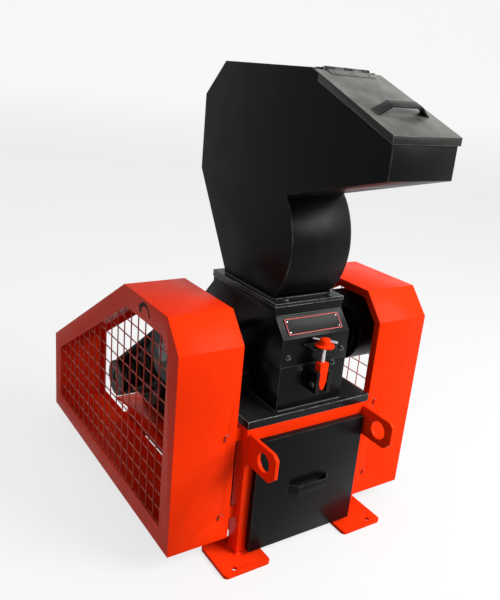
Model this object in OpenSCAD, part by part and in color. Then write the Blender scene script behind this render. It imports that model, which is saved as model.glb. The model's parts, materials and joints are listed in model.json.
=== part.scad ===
// Small plastics granulator: a cutting chamber on a welded stand, a tall feed hopper with a lid,
// a belt drive under one guard and a flywheel under the other, and a bin that slides out below.
// Millimetres, +Z up. The front faces -Y and +X is to the right. The whole is laid out from the
// front face of the stand and then moved, so that the origin is the middle of the floor area.

/* [Stand] */
// Width of the stand over its legs
stand_w = 460; // [440:5:500]
// Height of the stand below the base plate
stand_h = 445; // [430:5:470]
// Depth of the stand over its front and middle legs
stand_d = 380; // [370:5:420]
// Length of the whole frame, back to the rear legs
frame_len = 850; // [840:5:900]
// Side of the square tube
tube = 50; // [45:1:55]
// Wall of the square tube
tube_wall = 4; // [3:0.5:6]
// Height of the long bottom rails above the floor
rail_z = 66; // [55:1:80]
// Width of one foot plate
foot_w = 163; // [145:1:180]
// Length of one foot plate
foot_l = 155; // [140:5:175]
// Thickness of the foot plates
foot_t = 12; // [8:1:16]
// Diameter of the floor anchor holes
foot_hole_d = 18; // [14:1:22]
// How far a foot plate reaches past the end of its leg
foot_over = 70; // [60:1:90]
// How far a foot plate reaches past the side of its leg
foot_side = 78; // [60:2:90]

/* [Lifting lugs] */
// How far the lugs stand out in front
lug_reach = 138; // [120:2:150]
// Height of the lug plates
lug_h = 97; // [90:1:110]
// Thickness of the lug plates
lug_t = 12; // [8:1:16]
// Diameter of the lifting eye
lug_hole_d = 58; // [40:1:62]
// Distance between the middles of the two lugs
lug_spacing = 436; // [430:2:440]

/* [Base plate] */
// Thickness of the base plate
plate_t = 25; // [16:1:30]
// Depth of the base plate
plate_d = 480; // [470:5:520]

/* [Chamber] */
// Width of the cutting chamber
chamber_w = 245; // [225:5:260]
// Depth of the cutting chamber
chamber_d = 460; // [450:5:470]
// Distance from the front of the base plate to the chamber
chamber_set = 20; // [15:1:30]
// Height of the lower half, up to the rotor axis
lower_h = 142; // [138:1:150]
// Height of the straight wall of the upper half
upper_h = 87; // [80:1:95]
// Height of the sloped shoulder
shoulder_h = 54; // [45:1:60]
// Run of the sloped shoulder
shoulder_run = 49; // [40:1:55]
// Height of the collar under the flange
collar_h = 17; // [12:1:25]
// Wall of the chamber
chamber_wall = 20; // [14:1:22]
// Thickness of the chamber flange
flange_t = 12; // [8:1:16]

/* [Rotor] */
// Radius that the rotor knives cut at
cut_r = 118; // [112:1:120]
// Gap between the rotor knives and the bed knives
knife_gap = 1; // [0.5:0.1:2]
// Diameter of the rotor shaft
shaft_d = 60; // [50:1:65]
// Thickness of the rotor knives
knife_t = 12; // [8:1:14]
// Length of the rotor knives, outwards
knife_len = 60; // [50:1:70]
// Number of rotor knives
knife_count = 3; // [2:1:3]

/* [Screen] */
// Thickness of the screen
screen_t = 4; // [2:0.5:5]
// Diameter of the holes in the screen
screen_hole_d = 12; // [6:1:14]

/* [Flywheel] */
// Diameter of the flywheel
flywheel_d = 244; // [200:2:260]
// Width of the flywheel
flywheel_w = 112; // [80:2:120]

/* [Belt drive] */
// Outer diameter of the rotor pulley
rotor_pulley_d = 170; // [150:2:180]
// Outer diameter of the motor pulley
motor_pulley_d = 124; // [110:2:130]
// Number of belts
belt_count = 3; // [2:1:3]
// Distance between two belts
belt_pitch = 19; // [17:0.5:20]
// Thickness of a belt
belt_t = 10; // [8:0.5:11]
// Width of a belt
belt_w = 11; // [9:0.5:12]

/* [Motor] */
// Diameter of the motor body
motor_d = 236; // [220:2:250]
// Length of the motor body
motor_len = 330; // [300:5:360]
// Height of the motor shaft above its feet
motor_h = 132; // [128:1:140]
// Diameter of the motor shaft
motor_shaft_d = 38; // [28:1:42]
// Slope of the motor plate, down to the back
motor_tilt = 8.7; // [7:0.1:10]
// Distance from the plate's hinge to the motor axis, along the plate
motor_v = 183; // [175:1:190]
// Thickness of the motor plate
motor_plate_t = 10; // [8:1:12]
// Height of the slide rails under the motor
slide_rail_h = 28; // [20:1:32]

/* [Guards] */
// Thickness of each guard box, sideways
guard_w = 202; // [180:2:220]
// Length of each guard box
guard_len = 1032; // [1000:4:1080]
// Height of the bottom of the guards above the floor
guard_z = 68; // [60:1:80]
// Drop of the front chamfer of the guards
guard_front_drop = 84; // [70:2:100]
// Height of the rear wall of the guards
guard_rear_h = 305; // [280:5:330]
// Room between the flywheel and the flat top of the guards
guard_over = 52; // [46:1:64]
// Run of the front chamfer
guard_chamfer = 74; // [60:2:90]
// Distance from the front to the end of the flat top
guard_flat_end = 367; // [340:2:400]
// Sheet thickness of the guards
guard_sheet = 3; // [2:0.5:4]
// Width of the border round the mesh
guard_border = 64; // [50:1:70]
// Width of the lip on the open side
guard_lip = 25; // [20:1:32]
// Gap between the stand and the guards
guard_gap = 23; // [20:1:28]
// Pitch of the mesh
mesh_pitch = 50; // [44:1:60]
// Thickness of the mesh wires
wire_d = 4; // [3:0.5:5]

/* [Hopper] */
// Outer width of the hopper
hopper_w = 216; // [200:2:222]
// Sheet thickness of the hopper
hopper_sheet = 4; // [3:0.5:5]
// Height of the hopper above its flange
hopper_h = 646; // [630:2:680]
// Distance from the lid's hinge to the rear top corner
hopper_top_run = 437; // [420:1:450]
// Drop of the sloped rear corner
hopper_rear_drop = 104; // [90:2:120]
// Run of the sloped rear corner
hopper_rear_run = 110; // [100:2:120]
// Height of the straight rear wall
hopper_rear_h = 236; // [220:2:250]
// Height of the feed box front
feed_front_h = 102; // [90:2:110]
// Radius of the curved neck
neck_r = 218; // [212:1:226]
// Thickness of the hopper flange
hopper_flange_t = 10; // [8:1:12]

/* [Lid] */
// Length of the lid, down its slope
lid_len = 345; // [340:1:352]
// Slope of the lid
lid_slope = 22.1; // [20:0.1:24]
// Height of the lid's lips
lid_lip = 20; // [14:1:26]
// Sheet thickness of the lid
lid_sheet = 3; // [2:0.5:4]
// Play between the lid's lips and the hopper
lid_play = 2.5; // [1:0.1:3]

/* [Bin] */
// Width of the bin's front plate
bin_front_w = 400; // [390:2:410]
// Height of the bin's front plate
bin_front_h = 383; // [370:1:390]
// Height of the bin's front plate above the floor
bin_front_z = 25; // [20:1:34]
// Depth of the folded front plate
bin_front_t = 22; // [16:1:26]
// Depth of the bin behind its front plate
bin_d = 318; // [290:2:324]
// Sheet thickness of the bin
bin_sheet = 2; // [1.5:0.5:3]

/* [Latch] */
// Diameter of the swing bolt
latch_d = 12; // [10:1:14]
// Diameter of the nut's brim
nut_brim_d = 58; // [50:1:74]
// Length of the nut's cross bar
nut_bar_len = 73; // [60:1:74]

/* [Handles] */
// Width of the flat bar of the handles
bar_w = 30; // [24:1:34]
// Thickness of the flat bar of the handles
bar_t = 5; // [4:0.5:6]
// Length of the grip of the lid's handle
lid_grip = 98; // [80:2:110]
// Distance between the feet of the lid's handle
lid_feet = 172; // [160:2:180]
// Length of the grip of the bin's handle
bin_grip = 108; // [90:2:120]
// Distance between the feet of the bin's handle
bin_feet = 154; // [145:1:165]
// Height of both handles
handle_h = 26; // [22:1:32]

/* [Hidden] */

$fn = 48;
// Overrun of every cut, so that no cut ends flush with a face
over = 1;
// Play of a shaft or pin that turns in its bore, on the radius
run_play = 0.05;
// Play between parts that only stand beside each other
side_play = 0.5;

// Colours as the machine is painted
orange = "#ff4a14";
black = "#1c1d20";
steel = "#a8abad";
cast = "#4f5648";
belt_black = "#151515";

// Places along the depth, measured from the front face of the stand
chamber_y = chamber_set;
chamber_rear = chamber_y + chamber_d;
rotor_y = chamber_y + chamber_d / 2;
plate_z = stand_h + plate_t;
axis_z = plate_z + lower_h;
shoulder_z = axis_z + upper_h;
collar_z = shoulder_z + shoulder_h;
flange_z = collar_z + collar_h;
flange_top = flange_z + flange_t;
hopper_z = flange_top + hopper_flange_t;
hopper_top = hopper_z + hopper_h;
chamber_in = chamber_w - 2 * chamber_wall;
collar_y = chamber_y + shoulder_run;
collar_rear = chamber_rear - shoulder_run;
guard_y = 22;
guard_in_x = stand_w / 2 + guard_gap;
guard_out_x = guard_in_x + guard_w;
leg_in_x = stand_w / 2 - tube;
guard_h = axis_z + flywheel_d / 2 + guard_over - guard_z;
guard_front_h = guard_h - guard_front_drop;

// Feed opening and lid
lid_y = chamber_y + 20;
feed_lap = 4.6;
lid_front_y = lid_y - lid_len * cos(lid_slope);
feed_front_y = lid_front_y + feed_lap;
feed_gap = 0.6;
feed_low_z = lid_z(feed_front_y, lid_sheet + feed_gap) - feed_front_h;
neck_belly_y = chamber_y + 30;
neck_belly_z = hopper_z + 160;
neck_join_z = hopper_z + 308;
neck_join_y = neck_y(neck_join_z);
neck_foot_y = neck_y(hopper_z);
hopper_foot_y = collar_rear - 47;
hopper_rear_y = lid_y + hopper_top_run + hopper_rear_run;
hopper_half = hopper_w / 2;
hopper_in = hopper_half - hopper_sheet;
neck_steps = 22;

// Middle of the floor area, front to back
mid_y = (lid_front_y + guard_y + guard_len) / 2;

// Height of the lid's outer face at a place along Y, less a depth below it
function lid_z(y, depth) = hopper_top - (lid_y - y) * tan(lid_slope) - depth / cos(lid_slope);
// Outer face of the curved neck at a height
function neck_y(z) = neck_belly_y + neck_r - sqrt(neck_r * neck_r - pow(z - neck_belly_z, 2));

function unit(v) = v / norm(v);
function left_of(p, q) = let (d = unit(q - p)) [-d[1], d[0]];
function cross2(a, b) = a[0] * b[1] - a[1] * b[0];
// Meeting point of the line through p along u and the line through q along v
function meet(p, u, q, v) = abs(cross2(u, v)) < 1e-9 ? p : p + u * cross2(q - p, v) / cross2(u, v);
// Closed outline moved inwards by t, for an outline that runs anticlockwise
function inset(poly, t) = let (n = len(poly)) [
    for (i = [0 : n - 1])
        let (a = poly[(i + n - 1) % n], b = poly[i], c = poly[(i + 1) % n])
        meet(b + t * left_of(a, b), b - a, b + t * left_of(b, c), c - b)];
// Open path moved to its left by t
function beside(path, t) = let (n = len(path)) [
    for (i = [0 : n - 1])
        i == 0 ? path[0] + t * left_of(path[0], path[1])
        : i == n - 1 ? path[i] + t * left_of(path[i - 1], path[i])
        : let (a = path[i - 1], b = path[i], c = path[i + 1])
          meet(b + t * left_of(a, b), b - a, b + t * left_of(b, c), c - b)];
function backwards(list) = [for (i = [len(list) - 1 : -1 : 0]) list[i]];
// Outline of a bent sheet of thickness t along a path
function bent(path, t) = concat(path, backwards(beside(path, t)));
// Outline with its lowest and highest edges pushed out, to cut right through
function open_ends(poly, low, high, reach) = [
    for (p = poly) [p[0], p[1] < low ? p[1] - reach : p[1] > high ? p[1] + reach : p[1]]];

// Everything is laid out from the front of the stand and then centred
module centred() translate([0, -mid_y, 0]) children();
// Turns an outline in Y and Z into a solid from x0 to x0 + w
module along_x(x0, w) translate([x0, 0, 0]) rotate([90, 0, 90]) linear_extrude(w) children();
// Cylinder along X from x0
module rod_x(x0, y, z, d, len) translate([x0, y, z]) rotate([0, 90, 0]) cylinder(d = d, h = len);
// Turned shape round an axis along X, from an outline in radius and X
module turned_x(y, z) translate([0, y, z]) rotate([0, 90, 0]) rotate_extrude($fn = 72) children();
// Box between two corners
module block(a, b) translate(a) cube(b - a);
module both_sides() {
    children();
    mirror([1, 0, 0]) children();
}

// Square tube along one axis, open at both ends
module square_tube(a, b, axis) {
    inner = [for (i = [0 : 2]) i == axis ? over : -tube_wall];
    difference() {
        block(a, b);
        block(a - inner, b + inner);
    }
}

module tube_x(x0, x1, y, z) square_tube([x0, y, z], [x1, y + tube, z + tube], 0);
module tube_y(x, y0, y1, z) square_tube([x, y0, z], [x + tube, y1, z + tube], 1);
module tube_z(x, y, z0, z1) square_tube([x, y, z0], [x + tube, y + tube, z1], 2);

// Hexagon head bolt along Z: the head is above zero and the shank below
head_share = 1.7;
head_h_share = 0.65;
module hex_bolt(d, len) {
    cylinder(d = d * head_share, h = d * head_h_share, $fn = 6);
    translate([0, 0, -len]) cylinder(d = d, h = len, $fn = 24);
}

// Nut with its own bore, above zero
nut_h_share = 0.8;
module hex_nut(d) {
    difference() {
        cylinder(d = d * head_share, h = d * nut_h_share, $fn = 6);
        translate([0, 0, -over]) cylinder(d = d + 2 * run_play, h = d * nut_h_share + 2 * over, $fn = 24);
    }
}

// Legs, top rails and the tube that carries the motor plate's hinge
hinge_tube_z = 207;
module stand_frame() color(orange) centred() {
    top_z = stand_h - tube;
    difference() {
        union() {
            both_sides() {
                tube_z(leg_in_x, 0, foot_t, stand_h);
                tube_z(leg_in_x, stand_d - tube, rail_z + tube, stand_h);
                tube_y(leg_in_x, tube, stand_d - tube, top_z);
                tube_y(leg_in_x, stand_d, plate_d, top_z);
            }
            tube_x(-leg_in_x, leg_in_x, 0, top_z);
            tube_x(-leg_in_x, leg_in_x, stand_d - tube, hinge_tube_z);
            both_sides() hinge_ear();
        }
        rod_x(-stand_w, pivot_y, pivot_z, pivot_d, 2 * stand_w);
    }
}

// Hinge of the motor plate, behind the cross tube
pivot_d = 16;
pivot_gap = 16;
pivot_y = stand_d + pivot_gap;
pivot_z = hinge_tube_z + tube / 2;
ear_t = 10;
ear_x = 120;
ear_r = 14;
module hinge_ear() {
    block([ear_x, stand_d, pivot_z - ear_r], [ear_x + ear_t, pivot_y, pivot_z + ear_r]);
    rod_x(ear_x, pivot_y, pivot_z, 2 * ear_r, ear_t);
}

// Long bottom rails, rear legs and the cross tube under the tension bolts
module motor_frame() color(orange) centred() {
    both_sides() {
        tube_y(leg_in_x, tube, frame_len - tube, rail_z);
        tube_z(leg_in_x, frame_len - tube, foot_t, rail_z + tube);
    }
    difference() {
        tube_x(-leg_in_x, leg_in_x, frame_len - tube, rail_z);
        for (x = [-tension_x, tension_x])
            translate([x, tension_y, rail_z + tube - tube_wall - over])
                cylinder(d = tension_d, h = tube_wall + 2 * over);
    }
}

// One foot plate with round corners and its anchor hole; front left corner at zero
foot_corner = 14;
foot_hole_x = 43;
foot_hole_y = 22;
module foot_plate() {
    difference() {
        union() {
            block([foot_corner, 0, 0], [foot_w - foot_corner, foot_l, foot_t]);
            block([0, foot_corner, 0], [foot_w, foot_l - foot_corner, foot_t]);
            for (x = [foot_corner, foot_w - foot_corner], y = [foot_corner, foot_l - foot_corner])
                translate([x, y, 0]) cylinder(r = foot_corner, h = foot_t);
        }
        translate([foot_w - foot_hole_x, foot_hole_y, -over])
            cylinder(d = foot_hole_d, h = foot_t + 2 * over);
    }
}

foot_x = stand_w / 2 + foot_side - foot_w;
module foot_plates() color(orange) centred() both_sides() {
    translate([foot_x, -foot_over, 0]) foot_plate();
    translate([foot_x, frame_len + foot_over, 0]) mirror([0, 1, 0]) foot_plate();
}

// Lifting lugs: chamfered plates with an eye, welded to the front legs
lug_top = stand_h - 13;
lug_eye_back = 59;
lug_eye_down = 49;
lug_nose_top = 12;
lug_nose_run = 17;
lug_heel_up = 26;
lug_heel_run = 26;
module lug_outline() {
    low = lug_top - lug_h;
    polygon([
        [0, low], [0, lug_top], [-lug_reach + lug_nose_run, lug_top],
        [-lug_reach, lug_top - lug_nose_top], [-lug_reach, low + lug_heel_up],
        [-lug_reach + lug_heel_run, low]]);
}
module lifting_lugs() color(orange) centred() both_sides() difference() {
    along_x(lug_spacing / 2 - lug_t / 2, lug_t) lug_outline();
    rod_x(lug_spacing / 2 - lug_t, -lug_reach + lug_eye_back, lug_top - lug_eye_down, lug_hole_d, 2 * lug_t);
}

// Base plate with the discharge opening
discharge_half = chamber_in / 2 - 6;
discharge_run = cut_r - 3;
discharge_y0 = rotor_y - discharge_run;
discharge_y1 = rotor_y + discharge_run;
module base_plate() color(black) centred() difference() {
    block([-stand_w / 2, 0, stand_h], [stand_w / 2, plate_d, plate_z]);
    block([-discharge_half, discharge_y0, stand_h - over], [discharge_half, discharge_y1, plate_z + over]);
}

// Rails that carry the bin, welded between the front and middle legs
runner_w = 32;
runner_t = 4;
runner_weld = 12;
bin_z = 36;
module bin_runners() color(black) centred() both_sides() {
    low = bin_z - runner_t - side_play;
    block([leg_in_x - runner_w, side_play, low], [leg_in_x, stand_d, low + runner_t]);
    block([leg_in_x - runner_t, side_play, low + runner_t], [leg_in_x, stand_d, rail_z + runner_weld]);
}

// Chute from the base plate into the bin
chute_wall = 3;
chute_h = 52;
chute_run = 50;
module discharge_chute() color(black) centred() {
    y0 = discharge_y0;
    y1 = discharge_y1;
    z0 = stand_h - chute_h;
    outer = [[y0, z0], [y1 - chute_run, z0], [y1, stand_h], [y0, stand_h]];
    difference() {
        along_x(-discharge_half, 2 * discharge_half) polygon(outer);
        along_x(-discharge_half + chute_wall, 2 * (discharge_half - chute_wall))
            polygon(open_ends(inset(outer, chute_wall), z0 + 2 * chute_wall, stand_h - 2 * chute_wall,
                2 * chute_wall));
    }
}

// Lower half of the cutting chamber, with the seats of the bed knives and the hinge ears
ledge_t = 30;
bed_t = 14;
bed_drop = 2;
ledge_gap = 10;
ledge_in = cut_r + knife_gap + ledge_gap;
shaft_hole_d = shaft_d + 4;
lower_ear_x = 50;
upper_ear_x = 72;
chamber_ear_t = 20;
chamber_ear_r = 15;
hinge_back = 18;
hinge_y = chamber_rear + hinge_back;
hinge_z = axis_z + 2;
hinge_pin_d = 16;
chamber_ear_h = 26;
module lower_chamber() color(black) centred() difference() {
    union() {
        difference() {
            block([-chamber_w / 2, chamber_y, plate_z], [chamber_w / 2, chamber_rear, axis_z]);
            block([-chamber_in / 2, chamber_y + chamber_wall, plate_z - over],
                [chamber_in / 2, chamber_rear - chamber_wall, axis_z + over]);
        }
        ledge_top = axis_z - bed_drop - bed_t;
        block([-chamber_in / 2, chamber_y + chamber_wall, ledge_top - ledge_t],
            [chamber_in / 2, rotor_y - ledge_in, ledge_top]);
        block([-chamber_in / 2, rotor_y + ledge_in, ledge_top - ledge_t],
            [chamber_in / 2, chamber_rear - chamber_wall, ledge_top]);
        both_sides() {
            block([lower_ear_x, chamber_rear, hinge_z - chamber_ear_h],
                [lower_ear_x + chamber_ear_t, hinge_y, hinge_z]);
            rod_x(lower_ear_x, hinge_y, hinge_z, 2 * chamber_ear_r, chamber_ear_t);
        }
    }
    rod_x(-chamber_w, rotor_y, axis_z, shaft_hole_d, 2 * chamber_w);
    rod_x(-chamber_w, hinge_y, hinge_z, hinge_pin_d + 2 * run_play, 2 * chamber_w);
    for (x = bed_bolt_xs, y = bed_bolt_ys)
        translate([x, y, axis_z - bed_drop - bed_t - bed_bolt_len])
            cylinder(d = bed_bolt_d, h = bed_bolt_len + over);
}

// Bed knives on their seats, front and rear
bed_play = 1;
bed_edge = cut_r + knife_gap;
bed_bolt_d = 12;
bed_bolt_len = 25;
bed_bolt_back = 40;
bed_bolt_xs = [-60, 0, 60];
bed_bolt_ys = [rotor_y - bed_edge - bed_bolt_back, rotor_y + bed_edge + bed_bolt_back];
module bed_knives() color(steel) centred() difference() {
    z1 = axis_z - bed_drop;
    half = chamber_in / 2 - side_play;
    union() {
        block([-half, chamber_y + chamber_wall + bed_play, z1 - bed_t], [half, rotor_y - bed_edge, z1]);
        block([-half, rotor_y + bed_edge, z1 - bed_t], [half, chamber_rear - chamber_wall - bed_play, z1]);
    }
    for (x = bed_bolt_xs, y = bed_bolt_ys)
        translate([x, y, z1 - bed_t - over]) cylinder(d = bed_bolt_d + side_play, h = bed_t + 2 * over);
}

module bed_knife_bolts() color(black) centred()
    for (x = bed_bolt_xs, y = bed_bolt_ys)
        translate([x, y, axis_z - bed_drop]) hex_bolt(bed_bolt_d - 2 * run_play, bed_t + bed_bolt_len - over);

// Curved screen with its holes, and the ribs that carry it
screen_r = cut_r + 3;
screen_half = chamber_in / 2 - 2.5;
screen_span = 128;
screen_rows = 9;
screen_cols = 6;
screen_row_step = 13;
screen_col_pitch = 30;
module screen() color(steel) centred() difference() {
    translate([-screen_half, rotor_y, axis_z]) rotate([0, 90, 0]) rotate([0, 0, -screen_span / 2])
        rotate_extrude(angle = screen_span, $fn = 96)
            translate([screen_r, 0]) square([screen_t, 2 * screen_half]);
    for (row = [0 : screen_rows - 1], col = [0 : screen_cols - 1]) {
        turn = (row - (screen_rows - 1) / 2) * screen_row_step;
        x = (col - (screen_cols - 1) / 2) * screen_col_pitch;
        translate([x, rotor_y, axis_z]) rotate([turn, 0, 0]) translate([0, 0, -screen_r - screen_t - over])
            cylinder(d = screen_hole_d, h = screen_t + 2 * over, $fn = 16);
    }
}

cradle_t = 16;
cradle_half = 128;
cradle_h = 48;
cradle_x = screen_half - cradle_t - 8;
cradle_play = 0.3;
module screen_cradle() color(black) centred() both_sides() difference() {
    block([cradle_x, rotor_y - cradle_half, plate_z],
        [cradle_x + cradle_t, rotor_y + cradle_half, plate_z + cradle_h]);
    rod_x(cradle_x - over, rotor_y, axis_z, 2 * (screen_r + screen_t + cradle_play), cradle_t + 2 * over);
}

// Pedestals and pillow blocks that carry the rotor shaft on both sides
ped_x0 = chamber_w / 2 + 18;
ped_w = 62;
ped_l = 220;
ped_h = 60;
block_foot_t = 20;
block_r = 56;
block_w = 50;
bear_bolt_d = 16;
bear_bolt_run = 84;
bear_bolt_deep = 40;
module bearing_pedestals() color(black) centred() both_sides() difference() {
    block([ped_x0, rotor_y - ped_l / 2, plate_z], [ped_x0 + ped_w, rotor_y + ped_l / 2, plate_z + ped_h]);
    for (s = [-1, 1])
        translate([ped_x0 + ped_w / 2, rotor_y + s * bear_bolt_run, plate_z + ped_h - bear_bolt_deep])
            cylinder(d = bear_bolt_d, h = bear_bolt_deep + over);
}

module pillow_block() difference() {
    x0 = ped_x0 + (ped_w - block_w) / 2;
    foot_z = plate_z + ped_h;
    union() {
        block([x0, rotor_y - ped_l / 2, foot_z], [x0 + block_w, rotor_y + ped_l / 2, foot_z + block_foot_t]);
        block([x0, rotor_y - block_r, foot_z], [x0 + block_w, rotor_y + block_r, axis_z]);
        rod_x(x0, rotor_y, axis_z, 2 * block_r, block_w);
    }
    rod_x(x0 - over, rotor_y, axis_z, shaft_d + 2 * run_play, block_w + 2 * over);
    for (s = [-1, 1])
        translate([ped_x0 + ped_w / 2, rotor_y + s * bear_bolt_run, foot_z - over])
            cylinder(d = bear_bolt_d + side_play, h = block_foot_t + 2 * over);
}
module bearings() color(black) centred() both_sides() pillow_block();

module bearing_bolts() color(steel) centred() both_sides() for (s = [-1, 1])
    translate([ped_x0 + ped_w / 2, rotor_y + s * bear_bolt_run, plate_z + ped_h + block_foot_t])
        hex_bolt(bear_bolt_d - 2 * run_play, block_foot_t + bear_bolt_deep - over);

// Latch: cheeks on the lower half, a swing bolt between them and a hat nut on the bolt
latch_out = 38;
latch_drop = 50;
latch_y = chamber_y - latch_out;
latch_pin_z = axis_z - latch_drop;
cheek_t = 10;
cheek_gap = 32;
cheek_low = 27;
cheek_high = 40;
cheek_nose = 16;
latch_pin_d = 12;
module latch_cheeks() color(black) centred() difference() {
    both_sides() block([cheek_gap / 2, latch_y - cheek_nose, latch_pin_z - cheek_low],
        [cheek_gap / 2 + cheek_t, chamber_y, latch_pin_z + cheek_high]);
    rod_x(-chamber_w, latch_y, latch_pin_z, latch_pin_d, 2 * chamber_w);
}

module latch_pin() color(steel) centred() {
    half = cheek_gap / 2 + cheek_t;
    rod_x(-half, latch_y, latch_pin_z, latch_pin_d - 2 * run_play, 2 * half);
    translate([-half, latch_y, latch_pin_z]) rotate([0, -90, 0])
        cylinder(d = latch_pin_d * head_share, h = latch_pin_d * head_h_share, $fn = 6);
    translate([half, latch_y, latch_pin_z]) rotate([0, 90, 0])
        cylinder(d = latch_pin_d * head_share, h = latch_pin_d * head_h_share, $fn = 6);
}

eye_w = 30;
eye_t = 24;
eye_top = 66;
eye_waist = 9;
eye_tail_w = 12;
eye_tail = 18;
module swing_bolt() color(orange) centred() difference() {
    union() {
        translate([0, latch_y + eye_t / 2, latch_pin_z]) rotate([90, 0, 0])
            linear_extrude(eye_t) polygon([[-eye_w / 2, eye_top], [-eye_w / 2, eye_waist],
                [-eye_tail_w / 2, -eye_tail], [eye_tail_w / 2, -eye_tail],
                [eye_w / 2, eye_waist], [eye_w / 2, eye_top]]);
        translate([0, latch_y, latch_pin_z])
            cylinder(d = latch_d, h = nut_z + nut_bore_h - side_play - latch_pin_z);
    }
    rod_x(-eye_w, latch_y, latch_pin_z, latch_pin_d + 2 * run_play, 2 * eye_w);
}

// The nut has a wide brim, a domed crown and a blind bore for the bolt
lug_plate_t = 14;
lug_plate_up = 50;
lug_plate_z = axis_z + lug_plate_up;
washer_gap = 0.2;
washer_t = 3;
washer_d = 36;
brim_t = 7;
crown_d = 34;
crown_h = 19;
dome_h = 8;
nut_bore_h = 13;
nut_z = lug_plate_z + lug_plate_t + washer_t + 2 * washer_gap;
cross_bar_d = 8;
cross_bar_z = nut_z + nut_bore_h + cross_bar_d / 2 + 1;
cross_bar_turn = 51;
dome_steps = 6;
module hat_nut() color(orange) centred() difference() {
    r = crown_d / 2;
    shelf = crown_h - dome_h;
    translate([0, latch_y, nut_z]) rotate_extrude() polygon(concat(
        [[0, 0], [nut_brim_d / 2, 0], [nut_brim_d / 2, brim_t / 2], [r, brim_t], [r, brim_t + shelf]],
        [for (i = [1 : dome_steps]) let (a = 90 * i / dome_steps)
            [r * cos(a), brim_t + shelf + dome_h * sin(a)]]));
    translate([0, latch_y, nut_z - over]) cylinder(d = latch_d + 2 * run_play, h = nut_bore_h + over);
    along_cross_bar() rod_x(-nut_brim_d, 0, 0, cross_bar_d, 2 * nut_brim_d);
}
module along_cross_bar() translate([0, latch_y, cross_bar_z]) rotate([0, 0, -cross_bar_turn]) children();
module nut_cross_bar() color(steel) centred()
    along_cross_bar() rod_x(-nut_bar_len / 2, 0, 0, cross_bar_d - 2 * run_play, nut_bar_len);
module nut_washer() color(steel) centred() difference() {
    z0 = lug_plate_z + lug_plate_t + washer_gap;
    translate([0, latch_y, z0]) cylinder(d = washer_d, h = washer_t);
    translate([0, latch_y, z0 - over]) cylinder(d = latch_d + 2 * run_play, h = washer_t + 2 * over);
}

// Upper half of the cutting chamber with its shoulders, flange, hinge ears and latch lug
slot_w = latch_d + 3;
prong_out = 6;
lug_plate_w = 88;
flange_side = 3.5;
flange_open_y0 = neck_foot_y - 8;
flange_open_y1 = hopper_foot_y + 2;
upper_outline = [
    [chamber_y, axis_z], [chamber_rear, axis_z], [chamber_rear, shoulder_z], [collar_rear, collar_z],
    [collar_rear, flange_z], [collar_y, flange_z], [collar_y, collar_z], [chamber_y, shoulder_z]];
module upper_chamber() color(black) centred() difference() {
    union() {
        difference() {
            along_x(-chamber_w / 2, chamber_w) polygon(upper_outline);
            along_x(-chamber_in / 2, chamber_in) polygon(open_ends(inset(upper_outline, chamber_wall),
                axis_z + 2 * chamber_wall, collar_z, 2 * chamber_wall));
            block([-chamber_in / 2, collar_y + chamber_wall, collar_z - chamber_wall],
                [chamber_in / 2, collar_rear - chamber_wall, flange_z + over]);
        }
        difference() {
            block([-chamber_w / 2 - flange_side, collar_y, flange_z],
                [chamber_w / 2 + flange_side, collar_rear, flange_top]);
            block([-chamber_in / 2, flange_open_y0, flange_z - over],
                [chamber_in / 2, flange_open_y1, flange_top + over]);
        }
        both_sides() {
            block([upper_ear_x, chamber_rear, hinge_z],
                [upper_ear_x + chamber_ear_t, hinge_y, hinge_z + chamber_ear_h]);
            rod_x(upper_ear_x, hinge_y, hinge_z, 2 * chamber_ear_r, chamber_ear_t);
        }
        latch_lug();
    }
    rod_x(-chamber_w, rotor_y, axis_z, shaft_hole_d, 2 * chamber_w);
    rod_x(-chamber_w, hinge_y, hinge_z, hinge_pin_d + 2 * run_play, 2 * chamber_w);
    for (x = flange_bolt_xs, y = flange_bolt_ys)
        translate([x, y, flange_z - over]) cylinder(d = flange_bolt_d, h = flange_t + 2 * over);
}

module latch_lug() difference() {
    block([-lug_plate_w / 2, latch_y - prong_out, lug_plate_z],
        [lug_plate_w / 2, chamber_y, lug_plate_z + lug_plate_t]);
    block([-slot_w / 2, latch_y - prong_out - over, lug_plate_z - over],
        [slot_w / 2, latch_y, lug_plate_z + lug_plate_t + over]);
    translate([0, latch_y, lug_plate_z - over]) cylinder(d = slot_w, h = lug_plate_t + 2 * over);
}

module chamber_hinge_pin() color(steel) centred() {
    half = upper_ear_x + chamber_ear_t + over;
    rod_x(-half, hinge_y, hinge_z, hinge_pin_d, 2 * half);
}

// Blank plate with a plain raised border on the front shoulder, and its rivets
shoulder_a = atan2(shoulder_h, shoulder_run);
shoulder_len = norm([shoulder_run, shoulder_h]);
name_w = 200;
name_h = 52;
name_t = 2;
name_rim = 4;
name_rim_t = 1;
rivet_d = 5;
rivet_in = 9;
rivet_h = 1.6;
// Children are drawn on the shoulder: X across, Y up its slope, Z out of it
module on_shoulder() translate([0, chamber_y, shoulder_z]) rotate([shoulder_a, 0, 0])
    translate([0, shoulder_len / 2, 0]) children();
module name_plate() color(black) centred() on_shoulder() difference() {
    block([-name_w / 2, -name_h / 2, 0], [name_w / 2, name_h / 2, name_t + name_rim_t]);
    block([-name_w / 2 + name_rim, -name_h / 2 + name_rim, name_t],
        [name_w / 2 - name_rim, name_h / 2 - name_rim, name_t + name_rim_t + over]);
}
module name_plate_rivets() color(steel) centred() on_shoulder()
    for (x = [-1, 1], y = [-1, 1])
        translate([x * (name_w / 2 - rivet_in), y * (name_h / 2 - rivet_in), name_t])
            cylinder(d1 = rivet_d, d2 = rivet_d / 2, h = rivet_h, $fn = 16);

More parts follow.
